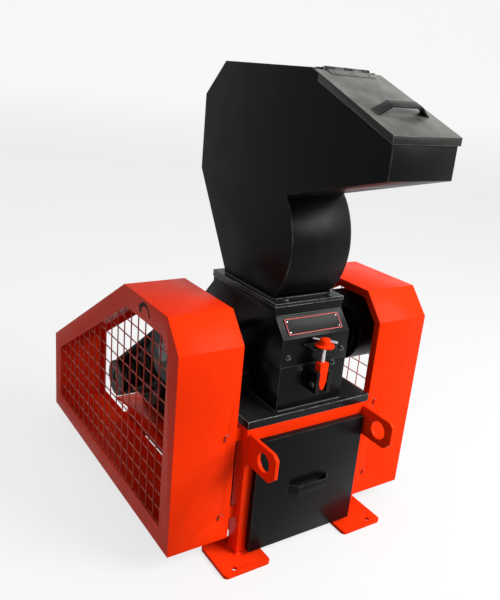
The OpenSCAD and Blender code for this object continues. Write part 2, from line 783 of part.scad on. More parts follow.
// Hopper: flange, two side plates and two bent sheets between them
flange_bolt_d = 12;
flange_bolt_in = 16;
flange_bolt_xs = [-82, 82];
flange_bolt_ys = [collar_y + flange_bolt_in, collar_rear - flange_bolt_in];
module hopper_flange() color(black) centred() difference() {
    block([-chamber_w / 2 - flange_side, collar_y, flange_top],
        [chamber_w / 2 + flange_side, collar_rear, hopper_z]);
    block([-hopper_in, neck_foot_y + hopper_sheet, flange_top - over],
        [hopper_in, hopper_foot_y - 2 * hopper_sheet, hopper_z + over]);
    for (x = flange_bolt_xs, y = flange_bolt_ys)
        translate([x, y, flange_top - over])
            cylinder(d = flange_bolt_d + side_play, h = hopper_flange_t + 2 * over);
}
module flange_bolts() color(black) centred() for (x = flange_bolt_xs, y = flange_bolt_ys)
    translate([x, y, hopper_z]) hex_bolt(flange_bolt_d - 2 * run_play, hopper_flange_t + flange_t);

// Outer line of the back sheet, from the hinge over the top and down to the flange
top_edge_gap = 8;
back_path = [
    [lid_y + top_edge_gap, hopper_top], [lid_y + hopper_top_run, hopper_top],
    [hopper_rear_y, hopper_top - hopper_rear_drop],
    [hopper_rear_y, hopper_top - hopper_rear_drop - hopper_rear_h], [hopper_foot_y, hopper_z]];
// Outer line of the front sheet, from the feed opening down the neck to the flange
feed_top_z = lid_z(feed_front_y, lid_sheet + feed_gap);
front_path = concat(
    [[feed_front_y, feed_top_z], [feed_front_y, feed_low_z]],
    [for (i = [0 : neck_steps])
        let (z = neck_join_z + (hopper_z - neck_join_z) * i / neck_steps) [neck_y(z), z]]);
side_outline = concat(
    front_path, backwards(back_path),
    [[lid_y + top_edge_gap, hopper_top - lid_sheet - feed_gap],
     [lid_y - top_edge_gap, lid_z(lid_y - top_edge_gap, lid_sheet + feed_gap)]]);
module hopper_left_side() color(black) centred() along_x(-hopper_half, hopper_sheet) polygon(side_outline);
module hopper_right_side() color(black) centred() along_x(hopper_in, hopper_sheet) polygon(side_outline);
module hopper_back_sheet() color(black) centred()
    along_x(-hopper_in, 2 * hopper_in) polygon(bent(back_path, -hopper_sheet));
module hopper_front_sheet() color(black) centred()
    along_x(-hopper_in, 2 * hopper_in) polygon(bent(front_path, hopper_sheet));

// Lid with lips on three sides. Children of on_lid lie on it: Y runs up the slope from the front
lid_half = hopper_half + lid_play + lid_sheet;
lid_back = 9;
knuckle_r = 6;
knuckle_len = 30;
knuckle_count = 5;
knuckle_gap = 0.4;
hinge_wire_d = 6;
leaf_t = 2.5;
leaf_w = 30;
leaf_back = 7;
module at_lid_hinge() translate([0, lid_y, hopper_top]) children();
module feed_lid() color(black) centred() {
    top = [[lid_y - lid_back * cos(lid_slope), lid_z(lid_y - lid_back * cos(lid_slope), 0)],
        [lid_front_y, lid_z(lid_front_y, 0)], [lid_front_y, lid_z(lid_front_y, 0) - lid_lip]];
    lip_start = lid_y - (lid_back + lid_lip) * cos(lid_slope);
    along_x(-lid_half, 2 * lid_half) polygon(bent(top, lid_sheet));
    both_sides() along_x(lid_half - lid_sheet, lid_sheet) polygon([
        [lip_start, lid_z(lip_start, lid_sheet / 2)], [lid_front_y, lid_z(lid_front_y, 0)],
        [lid_front_y, lid_z(lid_front_y, 0) - lid_lip],
        [lip_start, lid_z(lip_start, lid_lip)]]);
    at_lid_hinge() rotate([lid_slope, 0, 0]) mirror([0, 1, 0]) leaf(1, lid_sheet / 2);
}
// Hinge leaf: its knuckles start at the given one and take every second. It sinks into its sheet
module leaf(first, sink) {
    half = knuckle_count * knuckle_len / 2;
    difference() {
        union() {
            block([-half, leaf_back + sink, -sink], [half, leaf_back + leaf_w, leaf_t]);
            for (i = [first : 2 : knuckle_count - 1]) {
                x0 = -half + i * knuckle_len + knuckle_gap;
                block([x0, 0, 0], [x0 + knuckle_len - 2 * knuckle_gap, leaf_back + sink + over, leaf_t]);
                rod_x(x0, 0, 0, 2 * knuckle_r, knuckle_len - 2 * knuckle_gap);
            }
        }
        rod_x(-2 * half, 0, 0, hinge_wire_d + 2 * run_play, 4 * half);
    }
}
module lid_hinge_leaf() color(black) centred() at_lid_hinge() leaf(0, 0);
module lid_hinge_pin() color(steel) centred() at_lid_hinge() {
    len = knuckle_count * knuckle_len + 2 * over;
    rod_x(-len / 2, 0, 0, hinge_wire_d, len);
}

// Handle bent from flat bar: feet on Z = 0, the bar's width along Y
module bar_handle(grip, feet) {
    a = atan2(handle_h, (feet - grip) / 2);
    foot_in = bar_t / sin(a);
    grip_in = bar_t * tan(a / 2);
    rotate([90, 0, 0]) translate([0, 0, -bar_w / 2]) linear_extrude(bar_w) polygon([
        [-feet / 2, 0], [-feet / 2 + foot_in, 0], [-grip / 2 + grip_in, handle_h - bar_t],
        [grip / 2 - grip_in, handle_h - bar_t], [feet / 2 - foot_in, 0], [feet / 2, 0],
        [grip / 2, handle_h], [-grip / 2, handle_h]]);
}
lid_handle_s = 234;
module lid_handle() color(black) centred() at_lid_hinge() rotate([lid_slope, 0, 0])
    translate([0, -lid_handle_s, 0]) bar_handle(lid_grip, lid_feet);

// Rotor: shaft, three-armed body, knives and their bolts
drive_set = 68;
shaft_left_x = -guard_out_x + drive_set - 1;
shaft_right_x = guard_in_x + 25 + flywheel_w + 8;
rotor_half = chamber_in / 2 - 3;
hub_r = 56;
arm_t = 28;
arm_r = 104;
arm_root = 40;
arm_in = 2;
seat_low = cut_r - knife_len;
knife_bolt_d = 14;
knife_bolt_up = 32;
knife_bolt_xs = [-68, 0, 68];
module rotor_shaft() color(steel) centred()
    rod_x(shaft_left_x, rotor_y, axis_z, shaft_d, shaft_right_x - shaft_left_x);
// Repeats its children round the rotor axis; Z points outwards
module round_rotor() for (i = [0 : knife_count - 1])
    translate([0, rotor_y, axis_z]) rotate([360 * i / knife_count + rotor_turn, 0, 0]) children();
rotor_turn = 20;
module rotor_body() color(cast) centred() difference() {
    union() {
        rod_x(-rotor_half, rotor_y, axis_z, 2 * hub_r, 2 * rotor_half);
        round_rotor() block([arm_in - rotor_half, -arm_t, arm_root], [rotor_half - arm_in, 0, arm_r]);
    }
    rod_x(-2 * rotor_half, rotor_y, axis_z, shaft_d + 2 * run_play, 4 * rotor_half);
    round_rotor() for (x = knife_bolt_xs)
        translate([x, -arm_t - over, seat_low + knife_bolt_up]) rotate([-90, 0, 0])
            cylinder(d = knife_bolt_d, h = arm_t + 2 * over);
}
knife_tip = sqrt(cut_r * cut_r - knife_t * knife_t);
module rotor_knives() color(steel) centred() round_rotor() difference() {
    block([-rotor_half, 0, seat_low], [rotor_half, knife_t, knife_tip]);
    for (x = knife_bolt_xs) translate([x, -over, seat_low + knife_bolt_up]) rotate([-90, 0, 0])
        cylinder(d = knife_bolt_d + side_play, h = knife_t + 2 * over);
}
module rotor_knife_bolts() color(black) centred() round_rotor() for (x = knife_bolt_xs)
    translate([x, knife_t, seat_low + knife_bolt_up]) rotate([-90, 0, 0])
        hex_bolt(knife_bolt_d - 2 * run_play, knife_t + arm_t);

// Flywheel: heavy rim, web and hub
flywheel_x = guard_in_x + 25;
rim_t = 34;
web_t = 36;
fly_hub_d = 110;
module flywheel() color(black) centred() turned_x(rotor_y, axis_z) {
    r = flywheel_d / 2;
    x1 = flywheel_x + flywheel_w;
    mid = flywheel_x + flywheel_w / 2;
    bore = shaft_d / 2 + run_play;
    polygon([
        [bore, flywheel_x], [fly_hub_d / 2, flywheel_x], [fly_hub_d / 2, mid - web_t / 2],
        [r - rim_t, mid - web_t / 2], [r - rim_t, flywheel_x], [r, flywheel_x], [r, x1], [r - rim_t, x1],
        [r - rim_t, mid + web_t / 2], [fly_hub_d / 2, mid + web_t / 2], [fly_hub_d / 2, x1], [bore, x1]]);
}

// Belt drive in the left guard. Pulleys have one groove for each belt
groove_h = 11;
groove_side = 1;
groove_flare = 1.5;
pulley_edge = 12;
belt_proud = 0.8;
belt_play = 0.4;
pulley_out_x = -guard_out_x + drive_set;
pulley_w = 2 * pulley_edge + (belt_count - 1) * belt_pitch + belt_w;
function belt_x(i) = pulley_out_x + pulley_edge + belt_w / 2 + i * belt_pitch;
function groove_points(r) = [
    for (i = [0 : belt_count - 1])
        let (x = belt_x(i), low = belt_w / 2 + groove_side, high = low + groove_flare)
        each [[r, x - high], [r - groove_h, x - low], [r - groove_h, x + low], [r, x + high]]];
module grooved_pulley(d, bore_d, y, z) turned_x(y, z) polygon(concat(
    [[bore_d / 2 + run_play, pulley_out_x], [d / 2, pulley_out_x]], groove_points(d / 2),
    [[d / 2, pulley_out_x + pulley_w], [bore_d / 2 + run_play, pulley_out_x + pulley_w]]));
module rotor_pulley() color(cast) centred() grooved_pulley(rotor_pulley_d, shaft_d, rotor_y, axis_z);
module motor_pulley() color(cast) centred() grooved_pulley(motor_pulley_d, motor_shaft_d, motor_y, motor_z);

// Closed belt line round both pulleys at a height inside their outer faces
belt_arc_steps = 24;
full_turn = 360;
function belt_line(drop) = let (
    r1 = rotor_pulley_d / 2 - drop, r2 = motor_pulley_d / 2 - drop,
    a = [rotor_y, axis_z], b = [motor_y, motor_z],
    dir = atan2(b[1] - a[1], b[0] - a[0]), open_a = acos((r1 - r2) / norm(b - a)))
    concat(
        [for (i = [0 : belt_arc_steps]) let (t = dir + open_a + (full_turn - 2 * open_a) * i / belt_arc_steps)
            a + r1 * [cos(t), sin(t)]],
        [for (i = [0 : belt_arc_steps]) let (t = dir - open_a + 2 * open_a * i / belt_arc_steps)
            b + r2 * [cos(t), sin(t)]]);
module drive_belts() color(belt_black) centred() for (i = [0 : belt_count - 1])
    along_x(belt_x(i) - belt_w / 2, belt_w) difference() {
        polygon(belt_line(-belt_proud));
        polygon(belt_line(groove_h - belt_play));
    }

// Motor on its hinged plate. Children of on_motor_plate have Y along the plate and Z square to it
motor_drive_x = -guard_in_x - 17;
motor_back_x = motor_drive_x + motor_len;
motor_cx = (motor_drive_x + motor_back_x) / 2;
plate_up = 6;
motor_w = plate_up + slide_rail_h + motor_h;
motor_y = pivot_y + motor_v * cos(motor_tilt) + motor_w * sin(motor_tilt);
motor_z = pivot_z - motor_v * sin(motor_tilt) + motor_w * cos(motor_tilt);
motor_foot_run = 108;
motor_foot_x = 89;
motor_foot_w = 50;
motor_foot_t = 18;
motor_foot_len = 46;
motor_bolt_d = 12;
module on_motor_plate() translate([0, pivot_y, pivot_z]) rotate([-motor_tilt, 0, 0]) children();
module motor_spots() for (x = [-motor_foot_x, motor_foot_x], v = [-motor_foot_run, motor_foot_run])
    translate([motor_cx + x, motor_v + v, 0]) children();

motor_plate_left = guard_in_x + 37;
motor_plate_right = 200;
motor_plate_front = 20;
motor_plate_len = 424;
barrel_x0 = 30;
barrel_play = 1;
module motor_plate() color(orange) centred() on_motor_plate() difference() {
    union() {
        block([-motor_plate_left, motor_plate_front, plate_up - motor_plate_t],
            [motor_plate_right, motor_plate_len, plate_up]);
        both_sides() {
            rod_x(barrel_x0, 0, 0, 2 * ear_r, ear_x - barrel_play - barrel_x0);
            block([barrel_x0, 0, plate_up - motor_plate_t],
                [ear_x - barrel_play, motor_plate_front, plate_up]);
        }
    }
    rod_x(-stand_w, 0, 0, pivot_d + 2 * run_play, 2 * stand_w);
    motor_spots() translate([0, 0, -2 * motor_plate_t]) cylinder(d = motor_bolt_d, h = 4 * motor_plate_t);
    for (x = [-tension_x, tension_x]) translate([x, tension_v, -2 * motor_plate_t])
        cylinder(d = tension_d + 6, h = 4 * motor_plate_t);
}
module motor_plate_pin() color(steel) centred()
    rod_x(-ear_x - ear_t - over, pivot_y, pivot_z, pivot_d - 2 * run_play, 2 * (ear_x + ear_t + over));

module motor_slide_rails() color(black) centred() on_motor_plate() difference() {
    reach = motor_foot_run + motor_foot_w;
    for (x = [motor_cx - motor_foot_x, motor_cx + motor_foot_x])
        block([x - motor_foot_w / 2, motor_v - reach, plate_up],
            [x + motor_foot_w / 2, motor_v + reach, plate_up + slide_rail_h]);
    motor_spots() cylinder(d = motor_bolt_d, h = 2 * slide_rail_h);
}
module motor_bolts() color(steel) centred() on_motor_plate() motor_spots()
    translate([0, 0, plate_up + slide_rail_h + motor_foot_t])
        hex_bolt(motor_bolt_d - 2 * run_play, motor_foot_t + slide_rail_h + motor_plate_t);

// Two threaded rods that set the belt tension, with nuts above and below the plate
tension_d = 16;
tension_x = 150;
tension_y = frame_len - tube / 2;
tension_v = (tension_y - pivot_y) / cos(motor_tilt);
tension_top_z = pivot_z - tension_v * sin(motor_tilt);
tension_up = 52;
tension_nut_gap = 13;
module tension_bolts() color(steel) centred() for (x = [-tension_x, tension_x]) translate([x, tension_y, 0]) {
    low = rail_z + tube - tube_wall;
    translate([0, 0, low]) cylinder(d = tension_d - 2 * run_play, h = tension_top_z + tension_up - low);
    translate([0, 0, rail_z + tube]) hex_nut(tension_d - 2 * run_play - 2 * run_play);
    translate([0, 0, tension_top_z + plate_up + tension_nut_gap / 2]) hex_nut(tension_d - 4 * run_play);
}

// Motor body with cooling fins, end shield, fan cover, feet and a seat for its terminal box
fin_count = 30;
fin_h = 11;
fin_t = 3;
fin_low = 1;
shield_len = 34;
shield_r = 70;
box_seat_w = 90;
box_seat_h = 12;
module motor_body() color(cast) centred() difference() {
    union() {
        rod_x(motor_drive_x, motor_y, motor_z, motor_d - 2 * fin_h, motor_len);
        for (i = [0 : fin_count - 1]) translate([0, motor_y, motor_z]) rotate([360 * i / fin_count, 0, 0])
            block([motor_drive_x + shield_len, -fin_t / 2, motor_d / 2 - 2 * fin_h],
                [motor_back_x - fin_h, fin_t / 2, motor_d / 2 - fin_low]);
        rod_x(motor_drive_x, motor_y, motor_z, motor_d, shield_len);
        rod_x(motor_back_x - fin_h, motor_y, motor_z, motor_d, fin_h);
        rod_x(motor_drive_x - shield_len, motor_y, motor_z, 2 * shield_r, shield_len);
        on_motor_plate() for (x = [-motor_foot_x, motor_foot_x])
            block([motor_cx + x - motor_foot_len / 2, motor_v - motor_foot_run - motor_foot_w / 2,
                    plate_up + slide_rail_h],
                [motor_cx + x + motor_foot_len / 2, motor_v + motor_foot_run + motor_foot_w / 2,
                    plate_up + slide_rail_h + motor_foot_t]);
        block([motor_cx - box_seat_w / 2, motor_y - box_seat_w / 2, motor_z],
            [motor_cx + box_seat_w / 2, motor_y + box_seat_w / 2, motor_z + motor_d / 2 + box_seat_h]);
    }
    rod_x(motor_drive_x - 2 * motor_len, motor_y, motor_z, motor_shaft_d + 2 * run_play, 4 * motor_len);
    on_motor_plate() motor_spots() cylinder(d = motor_bolt_d + side_play, h = motor_h / 2);
}

fan_w = 26;
cover_len = 70;
module motor_shaft() color(steel) centred()
    rod_x(pulley_out_x + 6, motor_y, motor_z, motor_shaft_d, motor_back_x + fan_w + 4 - pulley_out_x - 6);
// Cup over the fan with a ring of slots in its end
cover_slots = 12;
cover_slot_w = 8;
module motor_fan_cover() color(cast) centred() difference() {
    rod_x(motor_back_x, motor_y, motor_z, motor_d, cover_len);
    rod_x(motor_back_x - over, motor_y, motor_z, motor_d - 2 * guard_sheet, cover_len - guard_sheet + over);
    for (i = [0 : cover_slots - 1]) translate([0, motor_y, motor_z]) rotate([360 * i / cover_slots, 0, 0])
        block([motor_back_x + cover_len / 2, -cover_slot_w / 2, motor_shaft_d],
            [motor_back_x + cover_len + over, cover_slot_w / 2, motor_d / 2 - 3 * guard_sheet]);
}
fan_blades = 7;
blade_root = 28;
blade_in = 2;
fan_r = motor_d / 2 - 16;
module motor_fan() color(black) centred() difference() {
    x0 = motor_back_x + side_play;
    union() {
        rod_x(x0, motor_y, motor_z, motor_shaft_d * 2, fan_w);
        for (i = [0 : fan_blades - 1]) translate([0, motor_y, motor_z])
            rotate([360 * i / fan_blades, 0, 0])
                block([x0 + blade_in, -fin_t / 2, blade_root], [x0 + fan_w - blade_in, fin_t / 2, fan_r]);
    }
    rod_x(motor_back_x - over, motor_y, motor_z, motor_shaft_d + 2 * run_play, 2 * fan_w);
}

box_w = 112;
box_h = 52;
box_lid_t = 8;
box_lid_over = 4;
gland_d = 32;
gland_len = 26;
gland_bore_d = 16;
module at_terminal_box() translate([motor_cx, motor_y, motor_z + motor_d / 2 + box_seat_h]) children();
module terminal_box() color(cast) centred() at_terminal_box() {
    half = box_w / 2;
    lid_half_w = half + box_lid_over;
    block([-half, -half, 0], [half, half, box_h - box_lid_t]);
    block([-lid_half_w, -lid_half_w, box_h - box_lid_t], [lid_half_w, lid_half_w, box_h]);
    cable_gland();
}
module cable_gland() translate([0, box_w / 2, (box_h - box_lid_t) / 2])
    rotate([-90, 0, 0]) difference() {
        union() {
            cylinder(d = gland_d, h = gland_len / 2, $fn = 6);
            cylinder(d = gland_d - 2 * guard_sheet, h = gland_len);
        }
        translate([0, 0, gland_len / 2]) cylinder(d = gland_bore_d, h = gland_len);
    }

// Guards: six-sided boxes, open towards the machine, with a mesh window on the outer side
guard_top = guard_z + guard_h;
guard_outline = [
    [guard_y, guard_z], [guard_y + guard_len, guard_z], [guard_y + guard_len, guard_z + guard_rear_h],
    [guard_y + guard_flat_end, guard_top], [guard_y + guard_chamfer, guard_top],
    [guard_y, guard_z + guard_front_h]];
tab_zs = [153, 421];
guard_bolt_x = guard_in_x + 32;
guard_bolt_d = 10;
module guard_box() difference() {
    along_x(guard_in_x, guard_w) polygon(guard_outline);
    along_x(guard_in_x + guard_sheet, guard_w - 2 * guard_sheet) polygon(inset(guard_outline, guard_sheet));
    along_x(guard_in_x - over, guard_w / 2) polygon(inset(guard_outline, guard_lip));
    along_x(guard_in_x + guard_w / 2, guard_w) polygon(inset(guard_outline, guard_border));
    for (z = tab_zs) {
        y0 = guard_y + guard_sheet;
        translate([guard_bolt_x, guard_y - over, z]) rotate([-90, 0, 0])
            cylinder(d = guard_bolt_d + side_play, h = guard_sheet + 2 * over);
        block([guard_in_x - over, y0, z - tab_h / 2 - side_play],
            [guard_in_x + guard_sheet + over, y0 + tab_t + side_play, z + tab_h / 2 + side_play]);
    }
}
module belt_guard() color(orange) centred() mirror([1, 0, 0]) guard_box();
module flywheel_guard() color(orange) centred() guard_box();

// Welded wire mesh: upright wires against the border and level wires behind them
mesh_lap = 12;
mesh_bite = 0.5;
module mesh_panel() {
    x1 = guard_out_x - guard_sheet;
    window = inset(guard_outline, guard_border - mesh_lap);
    y_mid = guard_y + guard_len / 2;
    z_mid = guard_z + guard_h / 2;
    cols = floor(guard_len / 2 / mesh_pitch);
    rows = floor(guard_h / 2 / mesh_pitch);
    intersection() {
        along_x(x1 - 2 * wire_d, 2 * wire_d) polygon(window);
        union() {
            for (i = [-cols : cols]) let (y = y_mid + i * mesh_pitch)
                block([x1 - wire_d, y - wire_d / 2, 0], [x1, y + wire_d / 2, guard_top]);
            for (i = [-rows : rows]) let (z = z_mid + i * mesh_pitch)
                block([x1 - 2 * wire_d + mesh_bite, guard_y, z - wire_d / 2],
                    [x1 - wire_d + mesh_bite, guard_y + guard_len, z + wire_d / 2]);
        }
    }
}
module guard_meshes() color(orange) centred() both_sides() mesh_panel();

// Tabs on the front legs, stays on the rear legs, and the bolts that hold the guards to them
tab_h = 40;
tab_t = 8;
tab_len = 70;
stay_h = 24;
stay_y0 = frame_len - tube + 5;
module guard_fixings() color(orange) centred() both_sides() {
    y0 = guard_y + guard_sheet;
    x0 = stand_w / 2;
    for (z = tab_zs) {
        difference() {
            block([x0, y0, z - tab_h / 2], [x0 + tab_len, y0 + tab_t, z + tab_h / 2]);
            translate([guard_bolt_x, y0 - over, z]) rotate([-90, 0, 0])
                cylinder(d = guard_bolt_d + side_play, h = tab_t + 2 * over);
        }
        translate([guard_bolt_x, guard_y, z]) rotate([90, 0, 0])
            hex_bolt(guard_bolt_d, guard_sheet + tab_t + guard_bolt_d);
        translate([guard_bolt_x, y0 + tab_t, z]) rotate([-90, 0, 0]) hex_nut(guard_bolt_d);
    }
    block([x0, stay_y0, guard_z + guard_sheet], [guard_in_x, stay_y0 + tube / 2, guard_z + stay_h]);
}

// Bin: a sheet box with a folded front plate, and the handle on the plate
bin_side_gap = 12;
bin_top_gap = 63;
bin_half = leg_in_x - bin_side_gap;
bin_top_z = stand_h - bin_top_gap;
bin_gap = 1;
bin_front_y = -bin_gap - bin_front_t;
module collecting_bin() color(black) centred() difference() {
    y0 = bin_front_y + bin_sheet;
    block([-bin_half, y0, bin_z], [bin_half, bin_d, bin_top_z]);
    block([-bin_half + bin_sheet, y0 + bin_sheet, bin_z + bin_sheet],
        [bin_half - bin_sheet, bin_d - bin_sheet, bin_top_z + over]);
}
module bin_front() color(black) centred() difference() {
    half = bin_front_w / 2;
    top = bin_front_z + bin_front_h;
    block([-half, bin_front_y, bin_front_z], [half, -bin_gap, top]);
    block([-half + bin_sheet, bin_front_y + bin_sheet, bin_front_z + bin_sheet],
        [half - bin_sheet, over, top - bin_sheet]);
}
bin_handle_z = 218;
module bin_handle() color(black) centred() translate([0, bin_front_y, bin_handle_z])
    rotate([90, 0, 0]) bar_handle(bin_grip, bin_feet);

stand_frame();
motor_frame();
foot_plates();
lifting_lugs();
base_plate();
bin_runners();
lower_chamber();
bed_knives();
bed_knife_bolts();
screen();
screen_cradle();
discharge_chute();
bearing_pedestals();
bearings();
bearing_bolts();
latch_cheeks();
latch_pin();
swing_bolt();
nut_washer();
hat_nut();
nut_cross_bar();
upper_chamber();
chamber_hinge_pin();
name_plate();
name_plate_rivets();
hopper_flange();
hopper_left_side();
hopper_right_side();
hopper_back_sheet();
hopper_front_sheet();
flange_bolts();
feed_lid();
lid_hinge_leaf();
lid_hinge_pin();
lid_handle();
rotor_shaft();
rotor_body();
rotor_knives();
rotor_knife_bolts();
flywheel();
rotor_pulley();
drive_belts();
motor_pulley();
motor_shaft();
motor_body();
motor_fan_cover();
motor_fan();
terminal_box();
motor_slide_rails();
motor_bolts();
motor_plate();
motor_plate_pin();
tension_bolts();
belt_guard();
flywheel_guard();
guard_meshes();
guard_fixings();
collecting_bin();
bin_front();
bin_handle();
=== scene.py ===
import json
import math
import random

import bmesh
import bpy
from mathutils import Matrix, Vector


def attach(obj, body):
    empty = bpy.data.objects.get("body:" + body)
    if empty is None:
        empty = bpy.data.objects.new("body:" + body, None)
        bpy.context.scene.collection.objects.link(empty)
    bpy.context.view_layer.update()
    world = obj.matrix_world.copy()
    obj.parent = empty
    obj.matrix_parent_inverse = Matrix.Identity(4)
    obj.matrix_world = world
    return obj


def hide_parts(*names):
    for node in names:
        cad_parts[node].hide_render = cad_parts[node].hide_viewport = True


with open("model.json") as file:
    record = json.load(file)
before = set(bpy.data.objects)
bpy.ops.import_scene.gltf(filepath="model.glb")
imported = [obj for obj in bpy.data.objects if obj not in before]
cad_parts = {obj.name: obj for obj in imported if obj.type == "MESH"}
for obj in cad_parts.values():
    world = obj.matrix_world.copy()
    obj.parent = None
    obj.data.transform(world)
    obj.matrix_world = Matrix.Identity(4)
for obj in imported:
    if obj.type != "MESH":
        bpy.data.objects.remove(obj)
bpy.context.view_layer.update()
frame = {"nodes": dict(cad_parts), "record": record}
NODES = frame["nodes"]
RECORD = frame["record"]

MM = 0.001
# The CAD is laid out from the stand's front face, this far in front of the origin, in millimetres
MID_Y = 387.1738
random.seed(7)

# The camera, solved from the photograph together with the size of the machine: its place in the CAD's
# own layout in millimetres, two of its directions, and its lens and sensor in millimetres
CAMERA_SPOT = (-1205.0, -1375.7, 1413.8)
CAMERA_RIGHT = (0.839, -0.537, 0.088)
CAMERA_FORWARD = (0.534, 0.7814, -0.323)
LENS = 48.05
SENSOR = 36.0
VIEW_DEPTH = 60.0

# Sizes shared with the CAD model, in millimetres
STAND_HALF = 230.0
STAND_REAR = 850.0
TUBE = 50.0
FOOT_TOP = 12.0
PLATE_TOP = 470.0
CHAMBER_FRONT = 20.0
CHAMBER_REAR = 480.0
CHAMBER_HALF = 122.5
SHOULDER_Z = 699.0
SHOULDER_RUN = 49.0
SHOULDER_H = 54.0
COLLAR_Y = CHAMBER_FRONT + SHOULDER_RUN
COLLAR_Z = SHOULDER_Z + SHOULDER_H
HOPPER_Z = 792.0
HOPPER_HALF = 108.0
AXIS_Y = 250.0
AXIS_Z = 612.0
BEARING_MIDDLE = 171.5
BEARING_HALF = 25.0
BEARING_TOP = 55.6
LATCH_Y = -18.0
LID_SLOPE = math.radians(22.1)
LID_Y = 40.0
LID_Z = 1438.0
MOTOR_Y = 602.0
MOTOR_Z = 368.4
GUARD_OUT_X = 455.0
GUARD_SHEET = 3.0
GUARD_OUTLINE = [
    (22.0, 68.0), (1054.0, 68.0), (1054.0, 373.0), (389.0, 786.0), (96.0, 786.0), (22.0, 702.0)]
MESH_INSET = 52.0
MESH_PITCH = 50.0
WIRE = 4.0

BODY_OF = {}
for body_name, members in RECORD["behaviour"]["bodies"].items():
    for member in members:
        BODY_OF[member] = body_name
SLOT_OF = {entry["node"]: entry["material_slot"] for entry in RECORD["subparts"]}


def at(x, y, z):
    """A place in the CAD's own layout, as a point in the row frame in metres."""
    return Vector((x * MM, (y - MID_Y) * MM, z * MM))


def lid_place(x, down, out):
    """A place on the lid: down its slope from the hinge, and out from its face."""
    y = LID_Y - down * math.cos(LID_SLOPE) - out * math.sin(LID_SLOPE)
    z = LID_Z - down * math.sin(LID_SLOPE) + out * math.cos(LID_SLOPE)
    return at(x, y, z)


def add_camera():
    data = bpy.data.cameras.new("camera")
    data.sensor_fit = "HORIZONTAL"
    data.sensor_width = SENSOR
    data.lens = LENS
    data.clip_end = VIEW_DEPTH
    obj = bpy.data.objects.new("camera", data)
    right = Vector(CAMERA_RIGHT).normalized()
    forward = Vector(CAMERA_FORWARD).normalized()
    right = (right - right.dot(forward) * forward).normalized()
    turn = Matrix((right, right.cross(forward), -forward)).transposed().to_4x4()
    obj.matrix_world = Matrix.Translation(at(*CAMERA_SPOT)) @ turn
    bpy.context.collection.objects.link(obj)
    bpy.context.scene.camera = obj


# Materials

def seen_rays(tree):
    """One where the camera, a reflection or glass looks at the surface, and zero for all other light."""
    path = tree.nodes.new("ShaderNodeLightPath")
    seen = path.outputs["Is Camera Ray"]
    for name in ("Is Glossy Ray", "Is Transmission Ray"):
        node = tree.nodes.new("ShaderNodeMath")
        node.operation = "MAXIMUM"
        tree.links.new(seen, node.inputs[0])
        tree.links.new(path.outputs[name], node.inputs[1])
        seen = node.outputs[0]
    return seen


